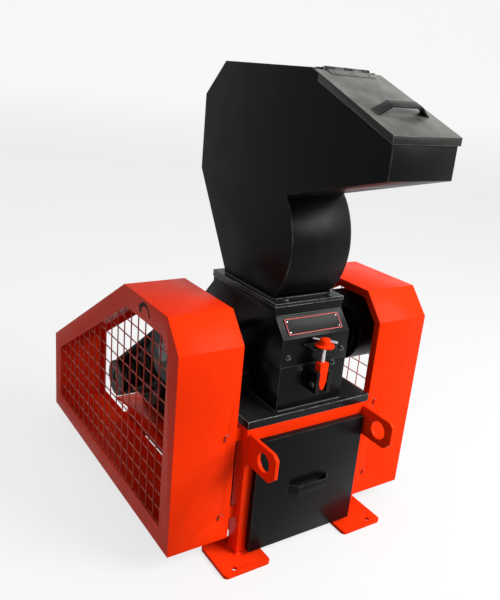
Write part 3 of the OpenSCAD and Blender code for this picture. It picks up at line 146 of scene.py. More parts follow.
class Shader:
    """One material and the few kinds of node that the finishes here are made of."""

    def __init__(self, name):
        self.mat = bpy.data.materials.new(name)
        self.mat.use_nodes = True
        self.tree = self.mat.node_tree
        self.tree.nodes.clear()
        out = self.tree.nodes.new("ShaderNodeOutputMaterial")
        self.bsdf = self.tree.nodes.new("ShaderNodeBsdfPrincipled")
        self.link(self.bsdf.outputs[0], out.inputs[0])
        self.coord = self.tree.nodes.new("ShaderNodeTexCoord").outputs["Object"]

    def link(self, a, b):
        self.tree.links.new(a, b)

    def put(self, value, socket):
        """Sets a socket to a number or a colour, or links another node's result to it."""
        if isinstance(value, float):
            socket.default_value = value
        elif isinstance(value, tuple):
            socket.default_value = (*value, 1.0)
        else:
            self.link(value, socket)

    def stretch(self, scale):
        node = self.tree.nodes.new("ShaderNodeMapping")
        node.inputs["Scale"].default_value = scale
        self.link(self.coord, node.inputs["Vector"])
        return node.outputs[0]

    def noise(self, scale, detail=3.0, rough=0.55, vector=None):
        """Soft patches from about 0.3 to 0.7, scale of them to the metre."""
        node = self.tree.nodes.new("ShaderNodeTexNoise")
        node.inputs["Scale"].default_value = scale
        node.inputs["Detail"].default_value = detail
        node.inputs["Roughness"].default_value = rough
        self.link(vector or self.coord, node.inputs["Vector"])
        return node.outputs[0]

    def remap(self, value, low, high, to_low=0.0, to_high=1.0):
        """Turns the range low to high into the range to_low to to_high, and cuts off what lies beyond."""
        node = self.tree.nodes.new("ShaderNodeMapRange")
        node.inputs["From Min"].default_value = low
        node.inputs["From Max"].default_value = high
        node.inputs["To Min"].default_value = to_low
        node.inputs["To Max"].default_value = to_high
        self.link(value, node.inputs["Value"])
        return node.outputs[0]

    def times(self, a, b):
        node = self.tree.nodes.new("ShaderNodeMath")
        node.operation = "MULTIPLY"
        self.link(a, node.inputs[0])
        self.put(b, node.inputs[1])
        return node.outputs[0]

    def mix(self, fac, a, b):
        node = self.tree.nodes.new("ShaderNodeMix")
        node.data_type = "RGBA"
        for value, name in ((a, "A"), (b, "B")):
            self.put(value, [s for s in node.inputs if s.name == name and s.type == "RGBA"][0])
        self.link(fac, node.inputs["Factor"])
        return [s for s in node.outputs if s.type == "RGBA"][0]

    def upward(self):
        """One on faces that look up, zero on steep ones."""
        geo = self.tree.nodes.new("ShaderNodeNewGeometry")
        split = self.tree.nodes.new("ShaderNodeSeparateXYZ")
        self.link(geo.outputs["Normal"], split.inputs[0])
        return self.remap(split.outputs["Z"], 0.55, 0.98)

    def edges(self, width, low, high):
        """One along the sharp edges of a piece, zero away from them."""
        bevel = self.tree.nodes.new("ShaderNodeBevel")
        bevel.samples = 4
        bevel.inputs["Radius"].default_value = width * MM
        geo = self.tree.nodes.new("ShaderNodeNewGeometry")
        dot = self.tree.nodes.new("ShaderNodeVectorMath")
        dot.operation = "DOT_PRODUCT"
        self.link(bevel.outputs[0], dot.inputs[0])
        self.link(geo.outputs["Normal"], dot.inputs[1])
        return self.remap(dot.outputs["Value"], high, low)

    def bump(self, height, strength, distance, below=None):
        """A normal for a rough skin, distance metres deep, on top of the one below if there is one."""
        node = self.tree.nodes.new("ShaderNodeBump")
        node.inputs["Strength"].default_value = strength
        node.inputs["Distance"].default_value = distance
        self.link(height, node.inputs["Height"])
        if below:
            self.link(below, node.inputs["Normal"])
        return node.outputs[0]

    def glow_where_seen(self, low, high, top):
        """White added only where the surface is seen: low at the floor, high from the height top up."""
        split = self.tree.nodes.new("ShaderNodeSeparateXYZ")
        self.link(self.coord, split.inputs[0])
        strength = self.remap(split.outputs["Z"], 0.0, top, low, high)
        self.put((1.0, 1.0, 1.0), self.bsdf.inputs["Emission Color"])
        self.link(self.times(seen_rays(self.tree), strength), self.bsdf.inputs["Emission Strength"])

    def finish(self, colour, rough, normal, metallic=0.0, specular=0.5):
        self.put(colour, self.bsdf.inputs["Base Color"])
        self.put(rough, self.bsdf.inputs["Roughness"])
        self.link(normal, self.bsdf.inputs["Normal"])
        self.bsdf.inputs["Metallic"].default_value = metallic
        self.bsdf.inputs["Specular IOR Level"].default_value = specular
        return self.mat


def shade(colour, factor):
    """The colour made darker or lighter."""
    return tuple(min(1.0, c * factor) for c in colour)


def paint(name, colour, rough, specular, dust_and_top_sheen, dust_and_sheen_colour, peel=0.06, wave=0.25, worn_and_edge_highlight=None):
    """Sprayed paint: drift in tone, orange peel, waviness, a pale layer on what faces up and lighter edges.
    The pale top layer is dust, and on some paints also a painted highlight on top-lit faces; the lighter
    edges are worn paint, and on some paints also a painted edge highlight.
    """
    s = Shader(name)
    tone = s.mix(s.remap(s.noise(2.3, 4.0), 0.35, 0.65), shade(colour, 0.88), shade(colour, 1.1))
    specks = s.remap(s.noise(900.0, 2.0), 0.62, 0.75, 0.0, 0.35)
    grime = s.remap(s.noise(14.0, 6.0, 0.65), 0.42, 0.75)
    tone = s.mix(s.times(specks, s.times(grime, 0.6)), tone, dust_and_sheen_colour)
    # Paler layer on upward faces: dust, and where a paint sets it high, a painted highlight on faces lit
    # from above.
    layer = s.times(s.upward(), s.remap(s.noise(9.0, 5.0, 0.6), 0.3, 0.72, dust_and_top_sheen * 0.25, dust_and_top_sheen))
    tone = s.mix(layer, tone, dust_and_sheen_colour)
    # Lighter sharp edges: worn paint, and on some paints a painted highlight along edges that catch the
    # light.
    if worn_and_edge_highlight:
        patches = s.remap(s.noise(26.0, 5.0, 0.6), 0.36, 0.6, 0.15, 1.0)
        tone = s.mix(s.times(s.edges(2.6, 0.90, 0.995), patches), tone, worn_and_edge_highlight)
    roughness = s.remap(s.noise(11.0, 5.0, 0.6), 0.3, 0.7, rough - 0.05, rough + 0.09)
    wavy = s.bump(s.noise(7.0, 1.0, 0.4), wave, 0.004)
    skin = s.bump(s.noise(420.0, 2.0, 0.5), peel, 0.0006, wavy)
    return s.finish(tone, roughness, skin, specular=specular)


def metal(name, colour, rough, grain=(1.0, 60.0, 60.0), stain=0.25):
    """Machined metal: fine lines along one axis and patches of stain."""
    s = Shader(name)
    lines = s.noise(38.0, 4.0, 0.7, s.stretch(grain))
    tone = s.mix(s.remap(lines, 0.3, 0.7), shade(colour, 0.85), shade(colour, 1.12))
    patches = s.remap(s.noise(22.0, 5.0, 0.65), 0.5, 0.74, 0.0, stain)
    tone = s.mix(patches, tone, shade(colour, 0.42))
    roughness = s.remap(s.noise(30.0, 5.0, 0.6), 0.3, 0.7, rough - 0.06, rough + 0.12)
    return s.finish(tone, roughness, s.bump(lines, 0.08, 0.0005), metallic=1.0)


def casting(name, colour, rough, metallic):
    """Sand-cast skin: coarse grain under a thin coat, with dust on what faces up."""
    s = Shader(name)
    tone = s.mix(s.remap(s.noise(17.0, 6.0, 0.65), 0.35, 0.7), shade(colour, 0.75), shade(colour, 1.2))
    layer = s.times(s.upward(), s.remap(s.noise(12.0, 5.0), 0.35, 0.7, 0.05, 0.4))
    tone = s.mix(layer, tone, (0.09, 0.08, 0.07))
    grain = s.bump(s.noise(650.0, 4.0, 0.7), 0.28, 0.0008)
    roughness = s.remap(s.noise(30.0), 0.3, 0.7, rough - 0.06, rough + 0.1)
    return s.finish(tone, roughness, grain, metallic, specular=0.15)


def rubber(name, colour):
    """Dull rubber or plastic with paler patches."""
    s = Shader(name)
    tone = s.mix(s.remap(s.noise(45.0, 6.0, 0.7), 0.4, 0.75), colour, shade(colour, 2.6))
    return s.finish(tone, 0.72, s.bump(s.noise(800.0, 3.0), 0.15, 0.0005), specular=0.1)


GREY_DUST = (0.05, 0.048, 0.044)
EVEN_GRAIN = (8.0, 8.0, 8.0)

# A paint has its colour, roughness, specular level, amount of dust and painted top highlight and their
# colour, and the colour of its worn and highlighted edges; a metal its colour, roughness, grain and stain,
# and a casting its colour, roughness and share of metal
ORANGE = paint("orange_gloss", (0.94, 0.034, 0.0024), 0.26, 0.025, 0.04, (0.80, 0.12, 0.05))
BLACK = paint("black_satin", (0.0030, 0.0031, 0.0037), 0.28, 0.085, 0.22, GREY_DUST, peel=0.1,
              worn_and_edge_highlight=(0.10, 0.105, 0.10))
# Base plate: its pale grey edges are a painted highlight along the lit top front edge, together with worn
# paint.
PLATE = paint("base_black", (0.0042, 0.0046, 0.0050), 0.28, 0.14, 0.3, GREY_DUST, peel=0.1,
              worn_and_edge_highlight=(0.50, 0.53, 0.51))
# Hopper: its lighter edges are a painted highlight along the corners, together with worn paint.
HOPPER = paint("hopper_black", (0.0030, 0.0032, 0.0037), 0.34, 0.075, 0.08, (0.04, 0.04, 0.038),
               peel=0.12, wave=0.5, worn_and_edge_highlight=(0.12, 0.125, 0.12))
# Lid: the heavy pale grey layer on its sloped top is dust together with a painted reflection of the light,
# which greys the top.
LID = paint("lid_black", (0.010, 0.010, 0.0095), 0.34, 0.20, 0.95, (0.20, 0.195, 0.18),
            peel=0.12, wave=0.3, worn_and_edge_highlight=(0.22, 0.22, 0.21))
# Wires: the pale pink layer on their upper sides is a painted highlight on the top-lit horizontal wires,
# with a little dust.
WIRES = paint("wire_orange", (0.60, 0.045, 0.024), 0.3, 0.15, 0.9, (0.90, 0.36, 0.27), peel=0.05)
MARK = paint("arrow_black", (0.004, 0.003, 0.003), 0.4, 0.02, 0.0, (0.01, 0.01, 0.01), peel=0.03)
STEEL = metal("bright_steel", (0.56, 0.57, 0.58), 0.26)
KNIFE = metal("ground_steel", (0.45, 0.46, 0.48), 0.2, (60.0, 1.0, 60.0), 0.15)
BOLT = metal("dark_bolt", (0.10, 0.10, 0.105), 0.38, EVEN_GRAIN, 0.4)
CAST = casting("grey_iron", (0.022, 0.021, 0.020), 0.42, 0.5)
MOTOR = casting("motor_enamel", (0.024, 0.026, 0.021), 0.38, 0.0)
AXLE = metal("worn_axle", (0.13, 0.13, 0.13), 0.42, EVEN_GRAIN, 0.5)
BELT = rubber("belt_rubber", (0.006, 0.006, 0.006))
PLASTIC = rubber("fan_plastic", (0.015, 0.015, 0.016))
RED = paint("red_border", (0.42, 0.012, 0.008), 0.4, 0.4, 0.1, (0.2, 0.1, 0.08), peel=0.05)
SIGN = paint("sign_black", (0.010, 0.010, 0.010), 0.36, 0.11, 0.05, (0.1, 0.1, 0.1), peel=0.05)
BEAD = paint("weld_orange", (0.88, 0.030, 0.0025), 0.33, 0.12, 0.08, (0.7, 0.15, 0.09), peel=0.2)
BEAD_BLACK = paint("weld_black", (0.008, 0.008, 0.009), 0.38, 0.35, 0.3, (0.08, 0.075, 0.07), peel=0.2)

# The finish of each material slot, and the CAD nodes that differ from their slot's finish
FINISH = {
    "orange_paint": ORANGE, "black_paint": BLACK, "bright_steel": STEEL, "knife_steel": KNIFE,
    "bolt_steel": BOLT, "cast_grey": CAST, "motor_paint": MOTOR, "fan_plastic": PLASTIC,
    "belt_rubber": BELT}
SPECIAL = {
    "base_plate": PLATE, "hopper_flange": PLATE, "feed_lid": LID, "name_plate": SIGN,
    "hopper_left_side": HOPPER, "hopper_right_side": HOPPER, "hopper_back_sheet": HOPPER,
    "hopper_front_sheet": HOPPER, "bearings": BLACK, "bearing_bolts": STEEL, "rotor_shaft": AXLE}


def finish_of(node):
    return SPECIAL.get(node, FINISH[SLOT_OF[node]])


# Building blocks for pieces

def settle(obj, body, material, smooth=28.0):
    """Gives a finished piece its material, soft shading and its body."""
    mesh = obj.data
    mesh.materials.clear()
    mesh.materials.append(material)
    mesh.shade_smooth()
    mesh.set_sharp_from_angle(angle=math.radians(smooth))
    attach(obj, body)
    return obj


def new_object(name, bm):
    mesh = bpy.data.meshes.new(name)
    bm.to_mesh(mesh)
    bm.free()
    obj = bpy.data.objects.new(name, mesh)
    bpy.context.collection.objects.link(obj)
    return obj


def rounded(obj, width, segments=2):
    """Rounds the edges of a piece, as sheet, castings and welded plates have them."""
    bevel = obj.modifiers.new("edges", "BEVEL")
    bevel.width = width * MM
    bevel.segments = segments
    bevel.limit_method = "ANGLE"
    bevel.angle_limit = math.radians(30.0)
    bevel.harden_normals = False
    graph = bpy.context.evaluated_depsgraph_get()
    mesh = bpy.data.meshes.new_from_object(obj.evaluated_get(graph))
    obj.modifiers.clear()
    old = obj.data
    obj.data = mesh
    bpy.data.meshes.remove(old)


def dress(node, width):
    """The CAD node's own shape with rounded edges, in place of the node."""
    bm = bmesh.new()
    bm.from_mesh(NODES[node].data)
    bmesh.ops.remove_doubles(bm, verts=bm.verts, dist=2e-6)
    bmesh.ops.dissolve_limit(bm, angle_limit=math.radians(0.6), verts=bm.verts, edges=bm.edges)
    obj = new_object(node + "_shell", bm)
    rounded(obj, width)
    settle(obj, BODY_OF[node], finish_of(node))
    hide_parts(node)


def band(bm, low, high):
    """Faces all round between two rings of vertices."""
    for i in range(len(low)):
        j = (i + 1) % len(low)
        bm.faces.new((low[i], low[j], high[j], high[i]))


def turned(bm, profile, origin, axis, sides):
    """The wall of a turned shape: profile is a list of (radius, along) in mm round axis from origin."""
    axis = Vector(axis).normalized()
    side = axis.orthogonal().normalized()
    other = axis.cross(side)
    rings = []
    for radius, along in profile:
        ring = []
        for i in range(sides):
            a = 2.0 * math.pi * i / sides
            out = side * math.cos(a) + other * math.sin(a)
            ring.append(bm.verts.new(origin + (axis * along + out * radius) * MM))
        rings.append(ring)
    for low, high in zip(rings, rings[1:]):
        band(bm, low, high)
    return rings


def lathe(bm, profile, origin, axis, sides):
    """Adds a solid turned shape to bm."""
    rings = turned(bm, profile, origin, axis, sides)
    bm.faces.new(list(reversed(rings[0])))
    bm.faces.new(rings[-1])


def ring_lathe(bm, profile, origin, axis, sides=48):
    """As lathe, but the profile is a closed loop round a hole."""
    rings = turned(bm, profile, origin, axis, sides)
    band(bm, rings[-1], rings[0])


def tube(bm, a, b, radius):
    """Adds a round bar from a to b."""
    lathe(bm, [(radius, 0.0), (radius, (b - a).length / MM)], a, b - a, sides=10)


def hex_head(bm, spot, axis, size, height, washer):
    """A hexagon head, size across its flats, with a chamfered top, on a washer."""
    axis = Vector(axis).normalized()
    lathe(bm, [(size * 0.98, 0.0), (size * 0.98, washer * 0.8), (size * 0.94, washer)], spot, axis, sides=32)
    spot = spot + axis * washer * MM
    corner = size * 0.577
    lathe(bm, [(corner * 0.97, 0.0), (corner, 0.3), (corner, height * 0.82), (corner * 0.86, height)],
          spot, axis, sides=6)


def bead(name, points, radius, body, material, slot):
    """A weld bead along a line of points: overlapping scales with a slightly uneven width."""
    scale_length = 3.2
    steps_per_scale = 3
    end_share = 0.4
    bm = bmesh.new()
    for a, b in zip(points, points[1:]):
        line = b - a
        length = line.length / MM
        steps = max(2, int(length / (scale_length / steps_per_scale)))
        profile = []
        for i in range(steps + 1):
            phase = (i % steps_per_scale) / steps_per_scale
            width = radius * (0.86 + 0.2 * (1.0 - phase) + random.uniform(-0.05, 0.05))
            profile.append((width, length * i / steps))
        profile[0] = (radius * end_share, 0.0)
        profile[-1] = (radius * end_share, length)
        lathe(bm, profile, a, line, sides=10)
    settle(new_object(name, bm), body, material, smooth=60.0)


def outline_inset(points, t):
    """An anticlockwise outline moved inwards by t."""
    result = []
    count = len(points)
    for i in range(count):
        a, b, c = Vector(points[i - 1]), Vector(points[i]), Vector(points[(i + 1) % count])
        u, v = (b - a).normalized(), (c - b).normalized()
        p = b + t * Vector((-u.y, u.x))
        q = b + t * Vector((-v.y, v.x))
        cross = u.x * v.y - u.y * v.x
        result.append(p + u * ((q.x - p.x) * v.y - (q.y - p.y) * v.x) / cross)
    return result


def span(points, value, axis):
    """Where a line at value across the outline enters and leaves it."""
    hits = []
    for a, b in zip(points, points[1:] + points[:1]):
        if (a[axis] - value) * (b[axis] - value) < 0:
            share = (value - a[axis]) / (b[axis] - a[axis])
            hits.append(a[1 - axis] + share * (b[1 - axis] - a[1 - axis]))
    return (min(hits), max(hits)) if len(hits) >= 2 else None


# Pieces

def guard_mesh():
    """Round welded wires in both guards' windows, each held behind the border."""
    sunk = 0.5
    window = outline_inset(GUARD_OUTLINE, MESH_INSET)
    y_mid = (GUARD_OUTLINE[0][0] + GUARD_OUTLINE[1][0]) / 2
    z_mid = (GUARD_OUTLINE[0][1] + GUARD_OUTLINE[3][1]) / 2
    bm = bmesh.new()
    for sign in (-1, 1):
        front = sign * (GUARD_OUT_X - GUARD_SHEET - WIRE / 2)
        back = sign * (GUARD_OUT_X - GUARD_SHEET - WIRE * 1.5 + sunk)
        for i in range(-11, 12):
            y = y_mid + i * MESH_PITCH
            ends = span(window, y, 0)
            if ends:
                tube(bm, at(front, y, ends[0]), at(front, y, ends[1]), WIRE / 2)
            z = z_mid + i * MESH_PITCH
            ends = span(window, z, 1)
            if ends:
                tube(bm, at(back, ends[0], z), at(back, ends[1], z), WIRE / 2)
    obj = settle(new_object("guard_wire_mesh", bm), "machine", WIRES, smooth=50.0)
    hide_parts("guard_meshes")


def turning_arrow():
    """A painted curved arrow on the border of the left guard, thin at its tail."""
    centre_y, centre_z, radius, half_width = 240.0, 738.0, 33.0, 6.6
    tail, neck, tip = 172.0, 30.0, -2.0
    steps = 24
    x = -GUARD_OUT_X - 0.25
    bm = bmesh.new()

    def corner(r, degrees):
        a = math.radians(degrees)
        return bm.verts.new(at(x, centre_y + r * math.cos(a), centre_z + r * math.sin(a)))

    inner, outer = [], []
    for i in range(steps + 1):
        degrees = tail - (tail - neck) * i / steps
        w = half_width * (0.45 + 0.55 * i / steps)
        inner.append(corner(radius - w, degrees))
        outer.append(corner(radius + w, degrees))
    for i in range(steps):
        bm.faces.new((inner[i], inner[i + 1], outer[i + 1], outer[i]))
    head = [(radius - 15.0, neck), (radius + 14.0, neck), (radius - 1.0, tip)]
    bm.faces.new([corner(r, degrees) for r, degrees in head])
    bmesh.ops.recalc_face_normals(bm, faces=bm.faces)
    obj = new_object("turning_arrow", bm)
    solid = obj.modifiers.new("paint", "SOLIDIFY")
    solid.thickness = 0.2 * MM
    rounded(obj, 0.02, 1)
    settle(obj, "machine", MARK)


def plate_border():
    """A plain red border on the rim of the blank plate."""
    outer_half, inner_half = (99.2, 25.2), (96.4, 22.4)
    plate_face, border_face = 3.0, 3.25
    slope = math.atan2(SHOULDER_H, SHOULDER_RUN)
    middle = math.hypot(SHOULDER_RUN, SHOULDER_H) / 2
    place = Matrix.Translation(at(0, CHAMBER_FRONT, SHOULDER_Z)) @ Matrix.Rotation(slope, 4, "X") \
        @ Matrix.Translation(Vector((0, middle * MM, 0)))
    bm = bmesh.new()
    loops = []
    for half_x, half_y in (outer_half, inner_half):
        for z in (plate_face, border_face):
            loops.append([bm.verts.new(place @ Vector((x * half_x * MM, y * half_y * MM, z * MM)))
                          for x, y in ((-1, -1), (1, -1), (1, 1), (-1, 1))])
    outer_low, outer_high, inner_low, inner_high = loops
    for i in range(4):
        j = (i + 1) % 4
        bm.faces.new((outer_low[i], outer_low[j], outer_high[j], outer_high[i]))
        bm.faces.new((inner_low[j], inner_low[i], inner_high[i], inner_high[j]))
        bm.faces.new((outer_high[i], outer_high[j], inner_high[j], inner_high[i]))
        bm.faces.new((outer_low[j], outer_low[i], inner_low[i], inner_low[j]))
    settle(new_object("plate_border", bm), "upper_housing", RED)


def latch_thread():
    """Thread on the swing bolt between its eye and the washer."""
    foot_z, length, pitch = 628.5, 45.6, 1.75
    core, root, crest = 5.9, 6.02, 6.28
    profile = [(core, 0.0)]
    z = 0.6
    while z < length:
        profile += [(root, z), (crest, z + 0.85)]
        z += pitch
    profile.append((core, z))
    bm = bmesh.new()
    lathe(bm, profile, at(0, LATCH_Y, foot_z), (0, 0, 1), sides=28)
    settle(new_object("swing_bolt_thread", bm), "machine", STEEL, smooth=20.0)


def chamber_bolts():
    """Hexagon heads on the front of the chamber, on washers."""
    for name, spots, body in (
            ("chamber_bolts", [(-50, 600), (72, 600)], "machine"),
            ("chamber_bolts_upper", [(-100, 642), (100, 642)], "upper_housing")):
        bm = bmesh.new()
        for x, z in spots:
            hex_head(bm, at(x, CHAMBER_FRONT, z), (0, -1, 0), size=9.0, height=7.0, washer=1.6)
        settle(new_object(name, bm), body, BOLT, smooth=25.0)


def guard_washers():
    """Washers under the bolts of the guards."""
    profile = [(5.2, 0.0), (10.2, 0.0), (10.2, 1.0), (9.8, 1.4), (5.2, 1.4)]
    bolt_x, bolt_heights = 285, (153, 421)
    bm = bmesh.new()
    for x in (-bolt_x, bolt_x):
        for z in bolt_heights:
            ring_lathe(bm, profile, at(x, GUARD_OUTLINE[0][0], z), (0, -1, 0), sides=32)
    settle(new_object("guard_washers", bm), "machine", BOLT, smooth=25.0)


def welds():
    """Beads where plates and tubes are welded, each laid just outside the corner that it fills."""
    stand = ("machine", BEAD, "orange_paint")
    base = ("machine", BEAD_BLACK, "black_paint")
    upper = ("upper_housing", BEAD_BLACK, "black_paint")
    lid = ("feed_lid", BEAD_BLACK, "black_paint")
    drawer = ("bin", BEAD_BLACK, "black_paint")
    proud = 1.2
    foot_z = FOOT_TOP + proud
    leg_front, leg_rear = -proud, STAND_REAR + proud
    lug_faces, lug_y, lug_foot, lug_head = (212, 224), -1.0, 340, 428
    tabs, tab_half, tab_y, tab_in, tab_out = (133, 401), 40.5, 27, 231, 242
    chamber_y, chamber_z, chamber_end = CHAMBER_FRONT - 1.1, PLATE_TOP + 1.5, 120
    pedestal_y, pedestal_z, pedestal_in, pedestal_out = 142, PLATE_TOP + proud, 140, 201
    lid_foot, lid_foot_top, lid_foot_end, lid_gap = 86.5, 221, 247, 0.6
    bin_foot, bin_foot_y, bin_foot_low, bin_foot_high = 77.4, -23.4, 205, 231
    collar_end, collar_z = 122, COLLAR_Z + 1.0
    neck_y, neck_z, neck_end = 107, HOPPER_Z + proud, 106
    neck_side_z, neck_side_front, neck_side_rear = HOPPER_Z + 1.0, 112, 382
    for side, tag in ((-1, "left"), (1, "right")):
        outside = side * (STAND_HALF + proud)
        corner, inside = side * STAND_HALF, side * (STAND_HALF - TUBE)
        for x in lug_faces:
            bead(f"lug_weld_{tag}_{x}",
                 [at(side * x, lug_y, lug_foot), at(side * x, lug_y, lug_head)], 2.6, *stand)
        bead(f"leg_weld_{tag}", [
            at(inside, leg_front, foot_z), at(corner, leg_front, foot_z),
            at(outside, 0, foot_z), at(outside, TUBE, foot_z)], 3.2, *stand)
        bead(f"rear_leg_weld_{tag}", [
            at(outside, STAND_REAR - TUBE, foot_z), at(outside, STAND_REAR, foot_z),
            at(corner, leg_rear, foot_z), at(inside, leg_rear, foot_z)], 3.2, *stand)
        for z in tabs:
            top = z + tab_half
            bead(f"tab_weld_{tag}_{z}",
                 [at(side * tab_in, tab_y, top), at(side * tab_out, tab_y, top)], 2.2, *stand)
        chamber_x = side * (CHAMBER_HALF + 0.7)
        bead(f"chamber_weld_{tag}",
             [at(chamber_x, CHAMBER_FRONT + 2, chamber_z), at(chamber_x, CHAMBER_REAR - 2, chamber_z)],
             3.4, *base)
        bead(f"pedestal_weld_{tag}", [
            at(side * pedestal_out, pedestal_y, pedestal_z),
            at(side * pedestal_in, pedestal_y, pedestal_z)], 2.6, *base)
        bead(f"lid_handle_weld_{tag}", [
            lid_place(side * lid_foot, lid_foot_top, lid_gap),
            lid_place(side * lid_foot, lid_foot_end, lid_gap)], 1.8, *lid)
        bead(f"bin_handle_weld_{tag}", [
            at(side * bin_foot, bin_foot_y, bin_foot_low),
            at(side * bin_foot, bin_foot_y, bin_foot_high)], 1.8, *drawer)
    bead("chamber_weld_front",
         [at(-chamber_end, chamber_y, chamber_z), at(chamber_end, chamber_y, chamber_z)], 3.4, *base)
    bead("collar_weld_front",
         [at(-collar_end, COLLAR_Y, collar_z), at(collar_end, COLLAR_Y, collar_z)], 2.4, *upper)
    bead("neck_weld_front",
         [at(-neck_end, neck_y, neck_z), at(neck_end, neck_y, neck_z)], 2.6, *upper)
    for side, tag in ((-1, "left"), (1, "right")):
        x = side * (HOPPER_HALF + proud)
        bead(f"neck_weld_{tag}",
             [at(x, neck_side_front, neck_side_z), at(x, neck_side_rear, neck_side_z)], 2.6, *upper)


def hinge_screws():
    """Button heads on both leaves of the lid's hinge."""
    head = [(4.4, 0.0), (4.3, 0.9), (3.2, 1.9), (1.4, 2.3)]
    in_row = (-58, 0, 58)
    from_pin, leaf_top = 25, 2.5
    up = Vector((0, 0, 1))
    out = Vector((0, -math.sin(LID_SLOPE), math.cos(LID_SLOPE)))
    lid = bmesh.new()
    hopper = bmesh.new()
    for bm, place, axis in (
            (lid, lambda x: lid_place(x, from_pin, leaf_top), out),
            (hopper, lambda x: at(x, LID_Y + from_pin, LID_Z + leaf_top), up)):
        for x in in_row:
            lathe(bm, head, place(x), axis, sides=24)
    settle(new_object("lid_leaf_screws", lid), "feed_lid", BOLT, smooth=40.0)
    settle(new_object("hopper_leaf_screws", hopper), "upper_housing", BOLT, smooth=40.0)


def bearing_details():
    """Inner rings and seals at both faces of each bearing, and a grease nipple on top."""
    inner_ring = [(30.2, 0.0), (36.5, 0.0), (36.5, 5.0), (35.5, 6.0), (30.2, 6.0)]
    seal = [(37.2, 0.0), (47.0, 0.0), (46.0, 1.6), (38.0, 1.6)]
    nipple = [(5.0, 0.0), (5.0, 4.0), (3.0, 4.5), (2.4, 9.0), (3.2, 10.0), (3.0, 12.5), (1.2, 13.6)]
    rings = bmesh.new()
    seals = bmesh.new()
    nipples = bmesh.new()
    for side in (-1, 1):
        for way in (-1, 1):
            spot = at(side * (BEARING_MIDDLE + way * BEARING_HALF), AXIS_Y, AXIS_Z)
            axis = (side * way, 0, 0)
            ring_lathe(rings, inner_ring, spot, axis)
            ring_lathe(seals, seal, spot, axis)
        top = at(side * BEARING_MIDDLE, AXIS_Y, AXIS_Z + BEARING_TOP)
        lathe(nipples, nipple, top, (0, 0, 1), sides=20)
    settle(new_object("bearing_rings", rings), "machine", STEEL, smooth=30.0)
    settle(new_object("bearing_seals", seals), "machine", PLASTIC, smooth=30.0)
    settle(new_object("grease_nipples", nipples), "machine", STEEL, smooth=30.0)


def motor_details():
    """Screws on the terminal box's lid and tie bolts in the end shield."""
    box_x, box_top, screw_out = -105, MOTOR_Z + 182, 52
    shield_x, bolt_circle, bolts = -270, 96, 6
    screw = [(4.0, 0.0), (4.0, 1.6), (3.0, 2.4)]
    bm = bmesh.new()
    for dx in (-screw_out, screw_out):
        for dy in (-screw_out, screw_out):
            lathe(bm, screw, at(box_x + dx, MOTOR_Y + dy, box_top), (0, 0, 1), sides=20)
    for i in range(bolts):
        a = math.radians(30 + 360 / bolts * i)
        spot = at(shield_x, MOTOR_Y + bolt_circle * math.cos(a), MOTOR_Z + bolt_circle * math.sin(a))
        hex_head(bm, spot, (-1, 0, 0), size=8.5, height=6.0, washer=1.4)
    settle(new_object("motor_screws", bm), "machine", BOLT, smooth=25.0)


# Floor and light, in metres

def stage():
    """A pale floor that rises in a bend into a pale backdrop, square to the camera's view."""
    half_width, front, bend_start, bend, steps = 18.0, -14.0, 7.0, 5.0, 29
    path = [(front, 0.0)]
    for i in range(steps + 1):
        a = math.radians(90.0 * i / steps)
        path.append((bend_start + bend * math.sin(a), bend * (1.0 - math.cos(a))))
    path += [(bend_start + bend, bend + rise) for rise in (4.0, 8.0)]
    bm = bmesh.new()
    rows = [[bm.verts.new(Vector((x, y, z))) for x in (-half_width, half_width)] for y, z in path]
    for low, high in zip(rows, rows[1:]):
        bm.faces.new((low[0], low[1], high[1], high[0]))
    bmesh.ops.transform(bm, matrix=Matrix.Rotation(math.radians(-34.0), 4, "Z"), verts=bm.verts)
    obj = new_object("floor", bm)
    s = Shader("floor")
    tone = s.mix(s.remap(s.noise(0.8, 3.0), 0.3, 0.7), (0.17, 0.17, 0.172), (0.18, 0.18, 0.182))
    s.glow_where_seen(0.75, 0.86, 0.9)
    obj.data.materials.append(s.finish(tone, 0.75, s.bump(s.noise(60.0), 0.02, 0.001), specular=0.2))
    obj.data.shade_smooth()


def area_light(name, place, size, power, colour=(1.0, 1.0, 1.0)):
    """A round lamp that looks at the middle of the machine."""
    middle = Vector((0.0, 0.0, 0.6))
    data = bpy.data.lights.new(name, "AREA")
    data.shape = "DISK"
    data.size = size
    data.energy = power
    data.color = colour
    obj = bpy.data.objects.new(name, data)
    obj.location = place
    obj.rotation_euler = (middle - Vector(place)).to_track_quat("-Z", "Y").to_euler()
    bpy.context.collection.objects.link(obj)


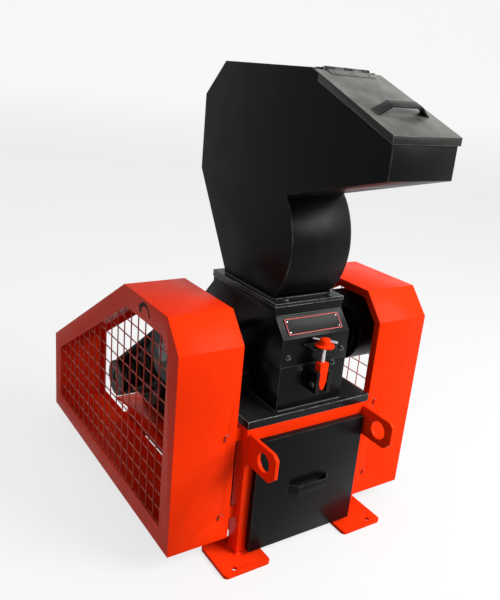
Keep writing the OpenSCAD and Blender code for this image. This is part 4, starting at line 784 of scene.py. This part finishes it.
def lights():
    """A large lamp at the front right, weak fill, and a world that is white where it is seen."""
    world = bpy.data.worlds.new("studio")
    world.use_nodes = True
    tree = world.node_tree
    fill = tree.nodes["Background"]
    white = tree.nodes.new("ShaderNodeBackground")
    for node, colour, strength in (
            (fill, (0.98, 0.985, 1.0, 1.0), 0.34), (white, (1.0, 1.0, 1.0, 1.0), 0.9)):
        node.inputs["Color"].default_value = colour
        node.inputs["Strength"].default_value = strength
    both = tree.nodes.new("ShaderNodeMixShader")
    tree.links.new(seen_rays(tree), both.inputs[0])
    tree.links.new(fill.outputs[0], both.inputs[1])
    tree.links.new(white.outputs[0], both.inputs[2])
    tree.links.new(both.outputs[0], tree.nodes["World Output"].inputs["Surface"])
    bpy.context.scene.world = world
    bpy.context.scene.view_settings.view_transform = "Standard"
    area_light("key", (2.3, -3.4, 3.2), size=3.2, power=325.0, colour=(1.0, 0.99, 0.97))
    area_light("top", (0.3, 0.4, 4.4), size=2.6, power=40.0)
    area_light("left_fill", (-4.2, -0.2, 1.8), size=2.4, power=4.0)


# Width of the rounded edges of each CAD node that is dressed, in millimetres
EDGES = {
    "stand_frame": 3.0, "motor_frame": 3.0, "foot_plates": 1.6, "lifting_lugs": 1.8, "base_plate": 1.6,
    "bin_runners": 0.8, "lower_chamber": 1.4, "bed_knives": 0.4, "bed_knife_bolts": 0.5,
    "screen_cradle": 0.8, "discharge_chute": 0.5, "bearing_pedestals": 1.5, "bearings": 2.0,
    "bearing_bolts": 0.7, "latch_cheeks": 1.2, "latch_pin": 0.6, "swing_bolt": 2.2, "hat_nut": 1.4,
    "nut_washer": 0.4, "nut_cross_bar": 0.9, "upper_chamber": 1.4, "chamber_hinge_pin": 1.0,
    "name_plate": 0.3, "hopper_flange": 1.2, "hopper_left_side": 1.0, "hopper_right_side": 1.0,
    "hopper_back_sheet": 1.6, "hopper_front_sheet": 1.6, "flange_bolts": 0.6, "feed_lid": 1.3,
    "lid_hinge_leaf": 0.5, "lid_handle": 1.2, "rotor_shaft": 1.5, "rotor_body": 1.5,
    "rotor_knives": 0.4, "rotor_knife_bolts": 0.5, "flywheel": 2.2, "rotor_pulley": 0.8,
    "motor_pulley": 0.8, "motor_shaft": 1.0, "motor_body": 0.9, "motor_fan_cover": 1.0,
    "motor_fan": 0.6, "terminal_box": 2.0, "motor_slide_rails": 1.2, "motor_bolts": 0.6,
    "motor_plate": 1.4, "tension_bolts": 0.6, "belt_guard": 1.3, "flywheel_guard": 1.3,
    "guard_fixings": 0.7, "collecting_bin": 0.6, "bin_front": 1.6, "bin_handle": 1.2,
    "drive_belts": 0.9}

add_camera()
for node_name, edge in EDGES.items():
    dress(node_name, edge)
for node_name, cad in NODES.items():
    if node_name not in EDGES and node_name != "guard_meshes":
        cad.data.materials.clear()
        cad.data.materials.append(finish_of(node_name))
guard_mesh()
turning_arrow()
plate_border()
latch_thread()
chamber_bolts()
guard_washers()
welds()
hinge_screws()
bearing_details()
motor_details()
stage()
lights()
